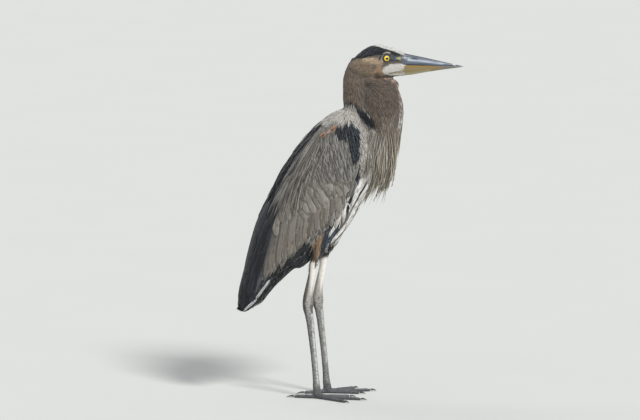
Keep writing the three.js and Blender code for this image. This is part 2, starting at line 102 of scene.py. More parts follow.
MARKINGS = (
    # the back and the wings
    # the dark band along the back: dark slate feathers, darker still with painted shade
    Stroke(SLATE, ((-40, 640, 26), (-92, 592, 26), (-150, 510, 22)), 10, (0, 30)),
    Stroke(
        SLATE,
        ((-82, 606, 3), (-106, 574, 4), (-128, 532, 5), (-142, 510, 8), (-166, 466, 9), (-183, 421, 14),
         (-198, 377, 17), (-205, 345, 18), (-218, 310, 18)),
        4,
    ),
    Stroke(SLATE, ((-222, 320, 18), (-234, 262, 28), (-242, 205, 32)), 6),
    Stroke(("#45464a", "#3a3c41", "#515155"), ((-172, 330, 10), (-188, 285, 12), (-206, 240, 10)), 14),
    # streaks near the tail tip; the pale ones are painted highlights on the lit edges of grey feathers
    Stroke(("#c4c6c3", "#9ea3a5", "#3a4149"), ((-184, 250, 3), (-206, 226, 5), (-232, 196, 5)), 4),
    # painted shade over the back and lower part of the wing
    Stroke(
        ("#6f6a63", "#77736c", "#67625b"),
        ((-92, 500, 12), (-122, 430, 24), (-150, 340, 24)), 30, (30, 200),
    ),
    # the flank and the underside
    Stroke(WHITE, ((52, 500, 10), (42, 474, 20), (22, 440, 26), (-8, 392, 22), (-34, 352, 16)), 5),
    Stroke(("#15181c", "#22262c"), ((40, 484, 1.8), (14, 436, 2.2), (-14, 388, 2.2), (-38, 360, 2)), 2.5),
    Stroke(("#15181c", "#22262c"), ((30, 447, 1.6), (14, 401, 2), (-17, 362, 2.4), (-46, 335, 2.6)), 2),
    Stroke(
        ("#2b333d", "#222932", "#343d48"),
        ((-8, 398, 2), (-28, 374, 7), (-54, 352, 9), (-64, 334, 9)), 3,
    ),
    # the dark band under the tail: slate feathers darkened with painted shade
    Stroke(
        ("#15171a", "#1d2024", "#25292f"),
        ((-88, 330, 9), (-120, 306, 16), (-156, 274, 18), (-192, 236, 18)), 5,
    ),
    Stroke(("#80694f", "#765f49", "#8b745b"), ((-70, 348, 8), (-74, 332, 10.5), (-78, 314, 8.5)), 3),
    Stroke(("#dedad3", "#24272b", "#35383c"), ((-36, 346, 6), (-48, 320, 13)), 4),
    Stroke(("#24221f", "#2d2a26", "#3b342c"), ((-68, 326, 2), (-74, 314, 9), (-92, 308, 9)), 4, (0, 26)),
    # the same band nearer the middle: slate feathers darkened with painted shade
    Stroke(
        ("#15171a", "#1d2024", "#25292f"),
        ((-84, 322, 12), (-120, 296, 22), (-156, 264, 22), (-194, 230, 20)), 5, (0, 34),
    ),
    # the neck
    Stroke(TAUPE, ((-10, 735, 20), (-2, 700, 30), (2, 660, 30), (6, 640, 24)), 6),
    Stroke(("#5a544e", "#4c4742"), ((-10, 735, 5), (-20, 700, 4), (-21, 660, 4)), 5, (0, 16)),
    Stroke(
        ("#6b5f53", "#65594e", "#73675a"),
        ((72, 690, 28), (74, 640, 42), (84, 590, 36), (88, 545, 26)), 10,
    ),
    Stroke(("#9a9083", "#82776b", "#8a7f72", "#776c60"), ((98, 625, 2), (84, 595, 16), (80, 560, 24)), 26),
    # painted shade along the fold between the nape limb and the front limb of the neck
    Stroke(("#6b6259", "#746b62"), ((46, 690, 8), (34, 650, 7), (38, 622, 6)), 12),
    Stroke(("#8d6a50", "#776c60", "#745c4b"), ((50, 703, 1.5), (70, 706, 1.5), (90, 704, 1.5)), 3),
    Stroke(
        ("#a5683f", "#d8cbb8", "#2a2624", "#8b5a3a", "#e4dfd6", "#6b5f53", "#6b5f53"),
        ((78, 705, 2), (98, 701, 3.5), (108, 688, 6), (114, 664, 7)), 4,
    ),
    Stroke(
        ("#f0ece6", "#ddd6cc", "#f0ece6", "#2c2d2f", "#b08a6a", "#6d6156", "#857a6e"),
        ((116, 664, 7), (119, 636, 9), (117, 596, 11), (104, 545, 14)), 5,
    ),
    Stroke(
        ("#c9c0b1", "#d9d2c5", "#a1968a", "#8a7e70"),
        ((112, 575, 9), (96, 520, 18), (78, 480, 26), (58, 440, 20)), 14,
    ),
    # the shoulder and the bend of the wing
    Stroke(
        GREY,
        ((-64, 610, 12), (-18, 630, 18), (18, 618, 22), (36, 582, 21), (42, 545, 18), (38, 512, 10)), 9,
    ),
    WRIST,
    Stroke(("#22262b",), ((-26, 645, 2.5), (0, 649, 2.5), (18, 643, 3)), 2),
    Stroke(SLATE, ((20, 520, 2.5), (14, 488, 6.5), (2, 450, 7.5), (-8, 424, 3.5)), 3),
    # black feathers and painted shadow deep in the crease between the nape limb and the shoulder
    Stroke(("#10141a", "#181e26"), ((18, 636, 5), (33, 621, 10), (47, 604, 9)), 4),
    Stroke(("#e7e4df",), ((39, 625, 0.8), (47, 613, 1.0)), 1.0),
    # the head
    Stroke(("#9b8870", "#907c65"), ((14, 738, 12), (34, 726, 14), (48, 714, 8)), 9),
    Stroke(("#c9b08f", "#bda282", "#d5c0a3"), ((30, 747, 5), (50, 745, 7.5), (66, 741, 6)), 6),
    Stroke(("#bb9a79", "#b0906f", "#c7ab8b"), ((56, 722, 4), (64, 728, 7), (70, 716, 5)), 8),
    Stroke(("#fbf8f1", "#f3eee5"), ((81, 723, 9.5), (92, 724, 13), (112, 724, 13.5), (124, 714, 8)), 4.5),
    Stroke(("#b5ac8c", "#9c9474", "#e0dacb"), ((88, 716, 2.2), (118, 721, 2.8)), 2.5),
    Stroke(
        ("#161b25", "#10141b", "#1c222e"),
        ((-6, 741, 3), (8, 752, 6), (32, 763, 11.5), (56, 767, 10.5), (74, 766, 8), (90, 764, 6),
         (108, 758, 4)), 2.5,
    ),
    Stroke(
        ("#faf8f4", "#f3f0ea", "#e9e6df"),
        ((44, 788, 10), (66, 785.5, 11), (84, 780.5, 11.5), (100, 775, 11), (114, 766, 8.5),
         (124, 760, 5.5)), 2, (0, 30),
    ),
    Stroke(("#30353d", "#3c4249"), ((86, 750, 6), (104, 748, 5)), 3),
    Stroke(("#cfc5ae", "#ddd4c0"), ((74, 760.5, 0.8), (81, 763, 1.4), (88, 761, 1.2)), 1.5),
    Stroke(("#1c2027",), ((64, 746, 1.0), (69, 756, 1.2)), 1.5),
)
FACE_SKIN = (
    Stroke(("#3a4048",), ((82, 750, 11), (96, 750, 7), (108, 748, 5)), 3),
    Stroke(("#a3a468",), ((105, 749, 1.6), (113, 747.5, 2.2)), 1.5),
)
BARE_LEG = (
    Stroke(("#85847f",), ((-90, 170, 60), (-60, 0, 160)), 5),
    Stroke(("#cfcac0",), ((-60, 320, 40), (-72, 270, 32)), 40),
    Stroke(("#a5a19a",), ((-88, 232, 30), (-88, 214, 30)), 34),
    # painted highlights down the fronts of the near and far shanks
    Stroke(("#dcd8d0",), ((-74, 310, 6), (-79, 276, 4.5), (-84, 246, 2), (-86, 226, -2)), 8),
    Stroke(("#e6e2db",), ((-52, 320, 7), (-57, 276, 5), (-62, 246, 2.5), (-65, 222, -2)), 8),
    # painted shade down the backs of the near and far shanks
    Stroke(("#57534d",), ((-90, 310, 3), (-92, 270, 4.5), (-98, 240, 6), (-104, 214, 7)), 5),
    Stroke(("#8a857d",), ((-70, 270, 2), (-76, 240, 4), (-82, 214, 5)), 5),
    # painted shade down the backs of the near and far tarsi
    Stroke(("#605d59",), ((-104, 204, 8), (-98, 180, 4), (-91, 130, 4), (-84, 70, 3.5), (-81, 24, 4)), 5),
    Stroke(("#605d59",), ((-82, 204, 6), (-76, 180, 4), (-69, 130, 4), (-62, 70, 3.5), (-59, 24, 4)), 5),
    # painted highlights down the fronts of the near and far tarsi
    Stroke(("#c3c4c3",), ((-83, 188, 2), (-79, 130, 2.2), (-73, 70, 2), (-70, 36, 2)), 3),
    Stroke(("#b9b8b4",), ((-61, 188, 2), (-57, 130, 2), (-51, 70, 1.8)), 3),
    Stroke(("#5c5d5f",), ((-140, 6, 16), (-60, 8, 18), (60, 6, 16)), 10),
)


def blend_step(values, low, high):
    """A smooth step from 0 at low to 1 at high."""
    t = np.clip((values - low) / (high - low), 0, 1)
    return t * t * (3 - 2 * t)


def stroke_cover(stroke, points):
    """How strongly a stroke covers each point, from 0 to 1."""
    flat = points[:, (0, 2)]
    inside = np.full(len(points), -1e6)
    for (x1, z1, w1), (x2, z2, w2) in zip(stroke.path, stroke.path[1:] or stroke.path):
        start, along = np.array((x1, z1)), np.array((x2 - x1, z2 - z1))
        t = np.clip(((flat - start) @ along) / max(along @ along, 1e-6), 0, 1)
        distance = np.linalg.norm(flat - start - t[:, None] * along, axis=1)
        inside = np.maximum(inside, w1 + (w2 - w1) * t - distance)
    cover = blend_step(inside, -0.5 * stroke.soft, 0.5 * stroke.soft)
    aside = np.abs(points[:, 1])
    near, far = stroke.spread
    return cover * blend_step(aside, near - 3, near + 0.01) * (1 - blend_step(aside, far, far + 5))


def markings(points, base, strokes=MARKINGS, rng=None):
    """The coat's colour at points in millimetres: each picks a marking's colour by rng, or their mean."""

    def picked(colours):
        palette = np.array([linear(c) for c in colours])
        if rng is None:
            return np.repeat(palette.mean(0)[None], len(points), axis=0)
        return palette[rng.integers(0, len(palette), len(points))]

    colour = picked(base)
    for stroke in strokes:
        cover = stroke_cover(stroke, points)
        if rng is not None and len(stroke.colours) > 1:
            blurred = (cover > 0.02) & (cover < 0.98)
            cover = np.clip(cover + (rng.random(len(points)) - 0.5) * 0.5 * blurred, 0, 1)
        colour += (picked(stroke.colours) - colour) * cover[:, None]
    return colour


# ---------------------------------------------------------------- materials
def wire(node, links):
    """Sets a node's inputs by name or number: to a value, an output, or another node's first output."""
    for key, value in links.items():
        if isinstance(value, bpy.types.Node):
            value = value.outputs[0]
        if isinstance(value, bpy.types.NodeSocket):
            node.id_data.links.new(value, node.inputs[key])
        else:
            node.inputs[key].default_value = value


def add(tree, kind, links=None, **settings):
    """Adds a shader node with its settings and links."""
    node = tree.nodes.new("ShaderNode" + kind)
    for key, value in settings.items():
        setattr(node, key, value)
    wire(node, links or {})
    return node


def material(name, dress, *values):
    """The material of this name; dress gives it its nodes when it is first asked for."""
    made = bpy.data.materials.get(name)
    if made is None:
        made = bpy.data.materials.new(name)
        made.use_nodes = True
        dress(made.node_tree, made.node_tree.nodes["Principled BSDF"], *values)
    return made


def surface(tree, shader, tone, height, strength, depth):
    """Gives a shader the piece's painted colour times a tone, and relief from a height."""
    coat = add(tree, "Attribute", attribute_name="Coat")
    wire(shader, {
        "Base Color": add(tree, "VectorMath", {0: coat, "Scale": tone}, operation="SCALE"),
        "Normal": add(tree, "Bump", {"Height": height, "Strength": strength, "Distance": depth}),
    })


def feather_keratin(tree, shader):
    """Contour feathers, keratin barbs combed flat: matt, with fine slanting lines either side of a shaft."""
    BARB = 1.1  # mm between the barbs that show; real ones are 0.3 mm apart
    SHAFT = 0.45  # mm half width
    SLANT = -1.4  # how far the barbs run along the feather for each step aside
    WEAR = 5.56  # mm across a worn or bleached patch
    TO_CM = 0.1  # the Vane map is in centimetres
    wire(shader, {"Roughness": 0.72, "Sheen Weight": 0.15, "Sheen Roughness": 0.5, "Specular IOR Level": 0.3})
    place = add(tree, "TexCoord").outputs["Object"]
    vane = add(tree, "SeparateXYZ", {"Vector": add(tree, "UVMap", uv_map="Vane")})
    aside = add(tree, "Math", {0: vane.outputs["X"]}, operation="ABSOLUTE")
    slanted = add(tree, "Math", {0: aside, 1: SLANT, 2: vane.outputs["Y"]}, operation="MULTIPLY_ADD")
    turns = add(tree, "Math", {0: slanted, 1: 2 * math.pi / (BARB * TO_CM)}, operation="MULTIPLY")
    barbs = add(tree, "Math", {0: turns}, operation="SINE")
    edges = {"From Min": 0.4 * SHAFT * TO_CM, "From Max": SHAFT * TO_CM}
    shaft = add(tree, "MapRange", {"Value": aside, **edges}, interpolation_type="SMOOTHSTEP")
    wear = add(tree, "TexNoise", {"Vector": place, "Scale": 1 / (WEAR * MM), "Detail": 3.0})
    light = add(
        tree, "MapRange", {"Value": wear, "From Min": 0.3, "From Max": 0.7, "To Min": 0.92, "To Max": 1.08}
    )
    lined = add(tree, "Math", {0: barbs, 1: 0.05, 2: light}, operation="MULTIPLY_ADD")
    dark_shaft = add(tree, "MapRange", {"Value": shaft, "To Min": 0.72, "To Max": 1.0})
    tone = add(tree, "Math", {0: lined, 1: dark_shaft}, operation="MULTIPLY")
    surface(tree, shader, tone, barbs, 0.25, 0.1 * MM)


def scaled_leg_skin(tree, shader):
    """Bare leg skin, horny scales over the legs and toes: dull, each scale a low dome with a dark edge."""
    SCALE = 2.6  # mm across a scale
    SPOT = 4.35  # mm across the dark speckles
    wire(shader, {"Roughness": 0.55, "Specular IOR Level": 0.4})
    bare = add(tree, "Attribute", attribute_name="Bare").outputs["Fac"]
    place = add(tree, "TexCoord").outputs["Object"]
    squashed = add(tree, "Mapping", {"Vector": place, "Scale": (1.0, 1.0, 0.8)})
    grid = {"Vector": squashed, "Scale": 1 / (SCALE * MM), "Randomness": 0.75}
    cells = add(tree, "TexVoronoi", grid, feature="DISTANCE_TO_EDGE")
    dome = add(tree, "MapRange", {"Value": cells, "From Max": 0.22}, interpolation_type="SMOOTHSTEP")
    spots = add(
        tree, "TexNoise", {"Vector": place, "Scale": 1 / (SPOT * MM), "Detail": 2.0, "Roughness": 0.6}
    )
    darker = {"From Min": 0.38, "From Max": 0.54, "To Min": 0.55, "To Max": 1.06}
    speckle = add(tree, "MapRange", {"Value": spots, **darker})
    edge = add(tree, "MapRange", {"Value": dome, "To Min": 0.72, "To Max": 1.04})
    shade = add(tree, "Math", {0: speckle, 1: edge}, operation="MULTIPLY")
    kept = add(tree, "MapRange", {"Value": bare, "To Min": 1.0, "To Max": shade})
    height = add(tree, "Math", {0: dome, 1: bare}, operation="MULTIPLY")
    surface(tree, shader, kept, height, 0.7, 0.5 * MM)


def horn(tree, shader, darkest, palest, streak, roughness):
    """Horn of bill and claws, grown in long fibres and worn smooth: satin, streaked from base to tip."""
    place = add(tree, "TexCoord").outputs["Object"]
    drawn_out = add(tree, "Mapping", {"Vector": place, "Scale": (0.06, 1.0, 1.0)})
    grain = {"Vector": drawn_out, "Scale": 1 / (streak * MM), "Detail": 4.0, "Roughness": 0.62}
    fibre = add(tree, "TexNoise", grain)
    spread = {"Value": fibre, "From Min": 0.3, "From Max": 0.7}
    tone = add(tree, "MapRange", {**spread, "To Min": darkest, "To Max": palest})
    gloss = add(tree, "MapRange", {**spread, "To Min": roughness - 0.1, "To Max": roughness + 0.12})
    wire(shader, {"Roughness": gloss})
    surface(tree, shader, tone, fibre, 0.35, 0.4 * MM)


def wet_eye(tree, shader):
    """A wet eye, clear cornea over a yellow iris: mirror gloss, black pupil, dark rim."""
    FLECK = 1.11  # mm across the flecks of the iris
    STOPS = (
        (0.0, "#050505"), (0.42, "#060605"), (0.45, "#c98a08"), (0.5, "#f0c810"), (0.72, "#f6dc2a"),
        (0.84, "#b98a10"), (0.9, "#1b1509"),
    )
    place = add(tree, "TexCoord").outputs["Object"]
    flecks = add(tree, "TexNoise", {"Vector": place, "Scale": 1 / (FLECK * MM), "Detail": 3.0})
    radial = add(tree, "Attribute", attribute_name="Radial").outputs["Fac"]
    wavy = add(tree, "Math", {0: flecks, 1: 0.05, 2: radial}, operation="MULTIPLY_ADD")
    rings = add(tree, "ValToRGB", {"Fac": wavy})
    elements = rings.color_ramp.elements
    while len(elements) < len(STOPS):
        elements.new(0.5)
    for element, (radius, colour) in zip(elements, STOPS):
        element.position = radius
        element.color = (*linear(colour), 1.0)
    wire(
        shader,
        {"Base Color": rings, "Roughness": 0.08, "IOR": 1.376, "Coat Weight": 1.0, "Coat Roughness": 0.02},
    )


def floor_paint(tree, shader, colour):
    """Matt emulsion rolled on a studio floor: dull, with a trace of cloudiness."""
    CLOUD = 333.0  # mm
    place = add(tree, "TexCoord").outputs["Object"]
    grain = add(tree, "TexNoise", {"Vector": place, "Scale": 1 / (CLOUD * MM), "Detail": 4.0})
    tone = add(tree, "MapRange", {"Value": grain, "To Min": 0.985, "To Max": 1.015})
    paint = add(tree, "VectorMath", {0: linear(colour), "Scale": tone}, operation="SCALE")
    wire(shader, {"Base Color": paint, "Roughness": 0.9})


# ---------------------------------------------------------------- meshes
def placed(name, data):
    """A new object in the scene."""
    thing = bpy.data.objects.new(name, data)
    bpy.context.scene.collection.objects.link(thing)
    return thing


def link_piece(name, mesh, replaced=()):
    """Puts a finished mesh in the scene as a piece of the object, shaded smooth."""
    mesh.shade_smooth()
    piece = placed(name, mesh)
    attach(piece, BODY)
    if replaced:
        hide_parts(*replaced)
    return piece


def as_mesh(work, name):
    """A mesh of this name from a bmesh, which is freed."""
    mesh = bpy.data.meshes.new(name)
    work.to_mesh(mesh)
    work.free()
    return mesh


def applied(piece):
    """The mesh of a piece with its modifiers applied, and the piece removed."""
    graph = bpy.context.evaluated_depsgraph_get()
    mesh = bpy.data.meshes.new_from_object(piece.evaluated_get(graph))
    bpy.data.objects.remove(piece)
    return mesh


def read(items, field, width, kind=float):
    """One field of a mesh's vertices, edges, triangles or map corners, a row for each."""
    values = np.zeros(len(items) * width, kind)
    items.foreach_get(field, values)
    return values.reshape(-1, width)


def coordinates(mesh):
    """A mesh's vertices, in millimetres."""
    return read(mesh.vertices, "co", 3) / MM


def set_coordinates(mesh, points):
    mesh.vertices.foreach_set("co", (points * MM).ravel())
    mesh.update()


def vertex_normals(mesh):
    return read(mesh.vertex_normals, "vector", 3)


def set_attribute(mesh, name, values):
    """Keeps a number for each vertex, or a colour where values has three columns."""
    kind, field = "FLOAT", "value"
    if np.ndim(values) == 2:
        kind, field = "FLOAT_COLOR", "color"
        values = np.column_stack((values, np.ones(len(values))))
    layer = mesh.attributes.new(name, kind, "POINT")
    layer.data.foreach_set(field, np.asarray(values, np.float32).ravel())


def unit(vectors):
    return vectors / np.maximum(np.linalg.norm(vectors, axis=-1, keepdims=True), 1e-9)


# ---------------------------------------------------------------- skin
STATE = {}  # the finished skin, for the coat to lie on
FOLDS = (  # loose skin between chin and neck: centre, radii
    ((42, 0, 700), (22, 17, 13)),
    ((78, 0, 690), (31, 17, 18)),
)


def bareness(points):
    """1 on the unfeathered legs and feet, 0 elsewhere."""
    x, _, z = points.T
    ahead = blend_step(x, -116, -108)
    low = 1 - blend_step(z, 298, 310)
    foot = 1 - blend_step(z, 150, 170)
    return np.maximum(ahead * low, foot)


def coat_depth(points):
    """How far the skin lies inside the coat's outer surface, in millimetres."""
    BODY_COAT, NECK_COAT, HEAD_COAT = 4.4, 2.2, 1.3
    x, _, z = points.T
    depth = np.full(len(points), BODY_COAT)
    depth += (NECK_COAT - depth) * blend_step(z, 600, 640) * blend_step(x, -30, 20)
    depth += (HEAD_COAT - depth) * blend_step(z, 690, 704) * blend_step(x, 20, 36)
    return depth * (1 - bareness(points))


class Skin:
    """The skin as something to look points up on."""

    def __init__(self, mesh):
        mesh.calc_loop_triangles()
        self.points = coordinates(mesh)
        self.normals = vertex_normals(mesh)
        self.triangles = read(mesh.loop_triangles, "vertices", 3, np.int32)
        self.tree = BVHTree.FromPolygons(self.points.tolist(), self.triangles.tolist())
        corners = read(mesh.loop_triangles, "loops", 3, np.int32)
        self.uv = read(mesh.uv_layers["Unwrap"].uv, "vector", 2, np.float32)[corners].mean(1)
        self.middle = self.points[self.triangles].mean(1)
        self.owner = owners(self.middle)

    def nearest(self, points):
        """The nearest points on the skin, the smooth normals there and the triangles' numbers."""
        found = [self.tree.find_nearest(p) for p in points.tolist()]
        index = np.array([f[2] for f in found])
        place = np.array([f[0] for f in found])
        return place, unit(self.normals[self.triangles[index]].mean(1)), index


def owners(where):
    """Which solid each point of the skin belongs to."""
    points, triangles, owner = [], [], []
    for name in FLESH:
        mesh = NODES[name].data
        mesh.calc_loop_triangles()
        start = len(points)
        points.extend(coordinates(mesh).tolist())
        for triangle in mesh.loop_triangles:
            triangles.append([start + v for v in triangle.vertices])
            owner.append(name)
    tree = BVHTree.FromPolygons(points, triangles)
    return np.array([owner[tree.find_nearest(p)[2]] for p in where.tolist()])


def joined_flesh():
    """Copies of the flesh solids, each closed and a little grown, as one mesh."""
    GROW = 0.5  # mm, so that neighbouring solids reach each other
    work = bmesh.new()
    for name in FLESH + ["eye_right", "eye_left"]:
        first = len(work.verts)
        work.from_mesh(NODES[name].data)
        work.verts.ensure_lookup_table()
        bmesh.ops.remove_doubles(work, verts=work.verts[first:], dist=SAME)
    work.normal_update()
    for vertex in work.verts:
        vertex.co += vertex.normal * GROW * MM
    for place, size in FOLDS:
        shape = Matrix.Translation(Vector(place) * MM) @ Matrix.Diagonal((*size, 1))
        bmesh.ops.create_uvsphere(work, u_segments=24, v_segments=14, radius=MM, matrix=shape)
    return as_mesh(work, "flesh")


def remeshed(mesh):
    """One closed surface round all of it, smoothed, and thinned where it is nearly flat."""
    VOXEL = 1.7  # mm
    KEPT = 0.54  # share of the triangles
    piece = placed("flesh", mesh)
    remesh = piece.modifiers.new("Remesh", "REMESH")
    remesh.mode = "VOXEL"
    remesh.voxel_size = VOXEL * MM
    smooth = piece.modifiers.new("Smooth", "SMOOTH")
    smooth.factor = 0.5
    smooth.iterations = 5
    thin = piece.modifiers.new("Thin", "DECIMATE")
    thin.ratio = KEPT
    return applied(piece)


def eye_frame(side):
    """An eye's centre and the way it looks."""
    return np.array((EYE.x, side * EYE.y, EYE.z)), np.array((GAZE.x, side * GAZE.y, GAZE.z))


def eye_distance(points):
    """How far it is from each point to the nearer eye's centre."""
    return np.min([np.linalg.norm(points - eye_frame(side)[0], axis=1) for side in SIDES.values()], axis=0)


def refine_near_eyes(mesh):
    """Cuts the skin finer round the eyes, where the lids need it."""
    REACH = 15  # mm
    work = bmesh.new()
    work.from_mesh(mesh)
    for _ in range(2):
        middles = np.array([face.calc_center_median() for face in work.faces]) / MM
        close = np.flatnonzero(eye_distance(middles) < REACH)
        work.faces.ensure_lookup_table()
        edges = list({edge for number in close.tolist() for edge in work.faces[number].edges})
        bmesh.ops.subdivide_edges(work, edges=edges, cuts=1, use_grid_fill=True)
        bmesh.ops.triangulate(work, faces=[face for face in work.faces if len(face.verts) > 4])
    work.to_mesh(mesh)
    work.free()


def shape_face(points):
    """Opens the lids round each eye, hollows the lores in front of them and creases the gape."""
    LID_OPENING, LID = 6.3, 0.75  # mm
    for side in SIDES.values():
        centre, gaze = eye_frame(side)
        local = points - centre
        forward = local @ gaze
        ring = np.linalg.norm(local - forward[:, None] * gaze, axis=1)
        near = (ring < 14) & (forward > 1)
        lid_height = np.sqrt(np.maximum((EYE_RADIUS + LID) ** 2 - ring**2, 0))
        socket = np.sqrt(np.maximum((EYE_RADIUS - 1.2) ** 2 - ring**2, 0))
        lid = np.clip((ring - LID_OPENING) / 0.8, 0, 1) * (1 - blend_step(ring, 8.0, 12.5))
        weight = np.where(ring < LID_OPENING, 1.0, 1 - blend_step(ring, 7.2, 11.0)) * near
        raised = np.where(ring < LID_OPENING, socket, np.maximum(lid_height, forward * (1 - lid * 0.3)))
        points += (weight * (raised - forward))[:, None] * gaze
    x, y, z = points.T
    lores = np.exp(-(((x - 99) / 9) ** 2 + ((z - 748) / 5) ** 2))
    points[:, 1] -= np.sign(y) * 1.3 * lores
    gape = np.exp(-(((z - 738.2) / 1.1) ** 2)) * blend_step(x, 56, 66)
    points[:, 1] -= np.sign(y) * 0.8 * gape
    return points


def shape_toes(points, normals):
    """Raises the scutes across the tops of the toes and down the front of the legs."""
    TOE_SCUTE, LEG_SCUTE = 3.6, 5.2  # mm from one to the next
    x, y, z = points.T
    toes = (1 - blend_step(z, 9, 14)) * blend_step(z, 2.0, 3.5)
    lead = np.where(y > 0, 22.0, 0.0)  # the left foot stands ahead
    reach = np.hypot(x + 71 - lead, np.abs(y) - 38)
    scutes = np.abs(np.sin(reach * math.pi / TOE_SCUTE)) - 0.5
    rise = 0.35 * scutes * toes * blend_step(reach, 8, 14)
    front = blend_step(normals[:, 0], 0.3, 0.8) * blend_step(z, 22, 34) * (1 - blend_step(z, 180, 196))
    rise += 0.3 * (np.abs(np.sin(z * math.pi / LEG_SCUTE)) - 0.5) * front * bareness(points)
    return points + rise[:, None] * normals


def room_inside(mesh, points, normals):
    """How far it is through the body from each point, in millimetres, evened out over its neighbours."""
    FARTHEST = 60.0
    mesh.calc_loop_triangles()
    tree = BVHTree.FromPolygons(points.tolist(), read(mesh.loop_triangles, "vertices", 3, np.int32).tolist())
    room = np.full(len(points), FARTHEST)
    start = points - normals * 0.05
    for number, (place, way) in enumerate(zip(start.tolist(), (-normals).tolist())):
        distance = tree.ray_cast(Vector(place), Vector(way), FARTHEST)[3]
        if distance is not None:
            room[number] = distance
    a, b = read(mesh.edges, "vertices", 2, np.int32).T
    for _ in range(12):
        least = room.copy()
        np.minimum.at(least, a, room[b] + 1.0)
        np.minimum.at(least, b, room[a] + 1.0)
        total, count = least.copy(), np.ones(len(room))
        for end, other in ((a, b), (b, a)):
            np.add.at(total, end, least[other])
            np.add.at(count, end, 1)
        room = np.minimum(least, total / count)
    return room


def skin_colour(points, bare):
    """The coat's markings, a little darker, with the bare legs and the naked skin of the face."""
    UNDER_COAT = 0.8
    coat = markings(points, COVERT) * UNDER_COAT
    legs = markings(points, ("#8f8b84",), BARE_LEG)
    colour = coat * (1 - bare)[:, None] + legs * bare[:, None]
    for stroke in FACE_SKIN:
        colour += (linear(stroke.colours[0]) - colour) * stroke_cover(stroke, points)[:, None]
    return colour


def unwrap(piece):
    """An unwrap of the skin's own shape, which places every feather's patch."""
    bpy.context.view_layer.objects.active = piece
    for other in bpy.context.selected_objects:
        other.select_set(False)
    piece.select_set(True)
    piece.data.uv_layers.new(name="Unwrap")
    bpy.ops.object.mode_set(mode="EDIT")
    bpy.ops.mesh.select_all(action="SELECT")
    bpy.ops.uv.smart_project(angle_limit=math.radians(70), island_margin=0.004)
    bpy.ops.object.mode_set(mode="OBJECT")


# ---------------------------------------------------------------- the lie of the coat
# Guides in the side view: a place and the way the feathers there point. Sides, top and front follow them.
LIE = (
    # head
    (118, 748, -1, 0.2), (100, 768, -1, 0.3), (70, 780, -1, 0), (35, 772, -0.9, -0.4),
    (6, 750, -0.5, -0.85), (118, 722, -1, -0.1), (88, 722, -1, -0.05), (60, 730, -1, -0.15),
    (30, 735, -0.8, -0.6), (90, 708, -1, 0), (60, 706, -0.9, -0.3), (100, 758, -1, 0.15),
    (60, 752, -1, -0.05),
    # nape limb of the neck
    (-10, 722, -0.3, -0.95), (25, 715, -0.3, -0.95), (-16, 680, 0, -1), (30, 680, 0.05, -1),
    (-10, 630, 0.15, -1), (25, 645, 0.15, -1), (12, 606, 0.3, -0.95), (35, 622, 0.5, -0.87),
    # front limb of the neck
    (52, 697, 0.95, 0.1), (76, 701, 0.95, -0.3), (100, 692, 0.65, -0.75), (113, 668, 0.3, -0.95),
    (119, 630, 0, -1), (116, 585, -0.15, -1), (104, 540, -0.38, -0.93), (80, 498, -0.5, -0.87),
    (50, 670, 0.7, -0.7), (44, 630, 0.45, -0.9), (72, 655, 0.45, -0.9), (75, 610, 0.15, -1),
    (70, 560, -0.15, -1), (62, 520, -0.45, -0.9), (46, 590, 0.15, -0.98),
    # back and shoulders
    (-20, 640, -0.9, -0.3), (-50, 622, -0.75, -0.66), (-90, 585, -0.6, -0.8), (-130, 515, -0.47, -0.88),
    (-170, 440, -0.4, -0.92), (-205, 350, -0.32, -0.95), (-230, 270, -0.25, -0.97),
    (-245, 200, -0.2, -0.98), (-12, 622, -0.5, -0.87), (16, 612, 0, -1), (34, 585, 0, -1),
    (44, 540, -0.12, -1), (36, 500, -0.4, -0.92),
    # wing
    (0, 590, 0.05, -1), (10, 550, 0.02, -1), (-25, 560, 0.15, -1), (-60, 560, 0.25, -0.97),
    (-92, 520, 0.32, -0.95), (-20, 500, 0.18, -0.98), (-60, 470, 0.36, -0.93), (-110, 440, 0.36, -0.93),
    (-20, 430, 0, -1), (-60, 400, 0.2, -0.98), (-100, 380, 0.22, -0.97), (-150, 380, 0.15, -1),
    (-80, 350, -0.1, -1), (-120, 320, -0.12, -1), (-160, 310, -0.15, -0.98), (-190, 280, -0.25, -0.97),
    (-160, 272, -0.4, -0.92), (-205, 232, -0.4, -0.92),
    # underside, thighs and tail
    (50, 470, -0.5, -0.87), (15, 410, -0.56, -0.83), (-25, 360, -0.62, -0.78), (-60, 322, -0.7, -0.7),
    (-75, 330, -0.1, -1), (-76, 310, -0.1, -1), (-52, 330, -0.1, -1), (-110, 300, -0.75, -0.66),
    (-150, 262, -0.72, -0.69), (-200, 214, -0.72, -0.69),
)


def lie(points):
    """The way the feathers point at each place, before it is laid along the skin."""
    guides = np.array(LIE, float)
    flat = points[:, None, (0, 2)] - guides[None, :, :2]
    weight = 1 / (np.sum(flat**2, axis=2) + 30) ** 2
    way = (weight[:, :, None] * guides[None, :, 2:]).sum(1)
    return unit(np.column_stack((way[:, 0], np.zeros(len(points)), way[:, 1])))


def along(direction, normals):
    """A direction laid along the skin."""
    return unit(direction - np.sum(direction * normals, axis=1, keepdims=True) * normals)


class Cut(NamedTuple):
    """The cut of one kind of feather, in millimetres."""

    length: tuple = (0, 0)  # least and greatest
    width: tuple = (0, 0)
    lift: tuple = (0, 0)  # height over the skin at the root and at the tip
    rows: int = 5
    half_columns: int = 1  # columns either side of the shaft
    thickness: float = 0.35
    point: float = 1.0  # 0 is round-ended, 1 is lance-shaped
    stray: float = 6.0  # degrees either way from the lie
    cup: float = 0.0  # how far the edges bend down, as a share of the half width
    drape: bool = False  # edges follow the skin too
    base: tuple = COVERT


class Ribs(NamedTuple):
    """Where a set of feathers lies."""

    rows: list  # from root to tip: centres, left edges, right edges and the ways up
    places: np.ndarray  # each feather's place in the map
    lengths: np.ndarray
    widths: np.ndarray


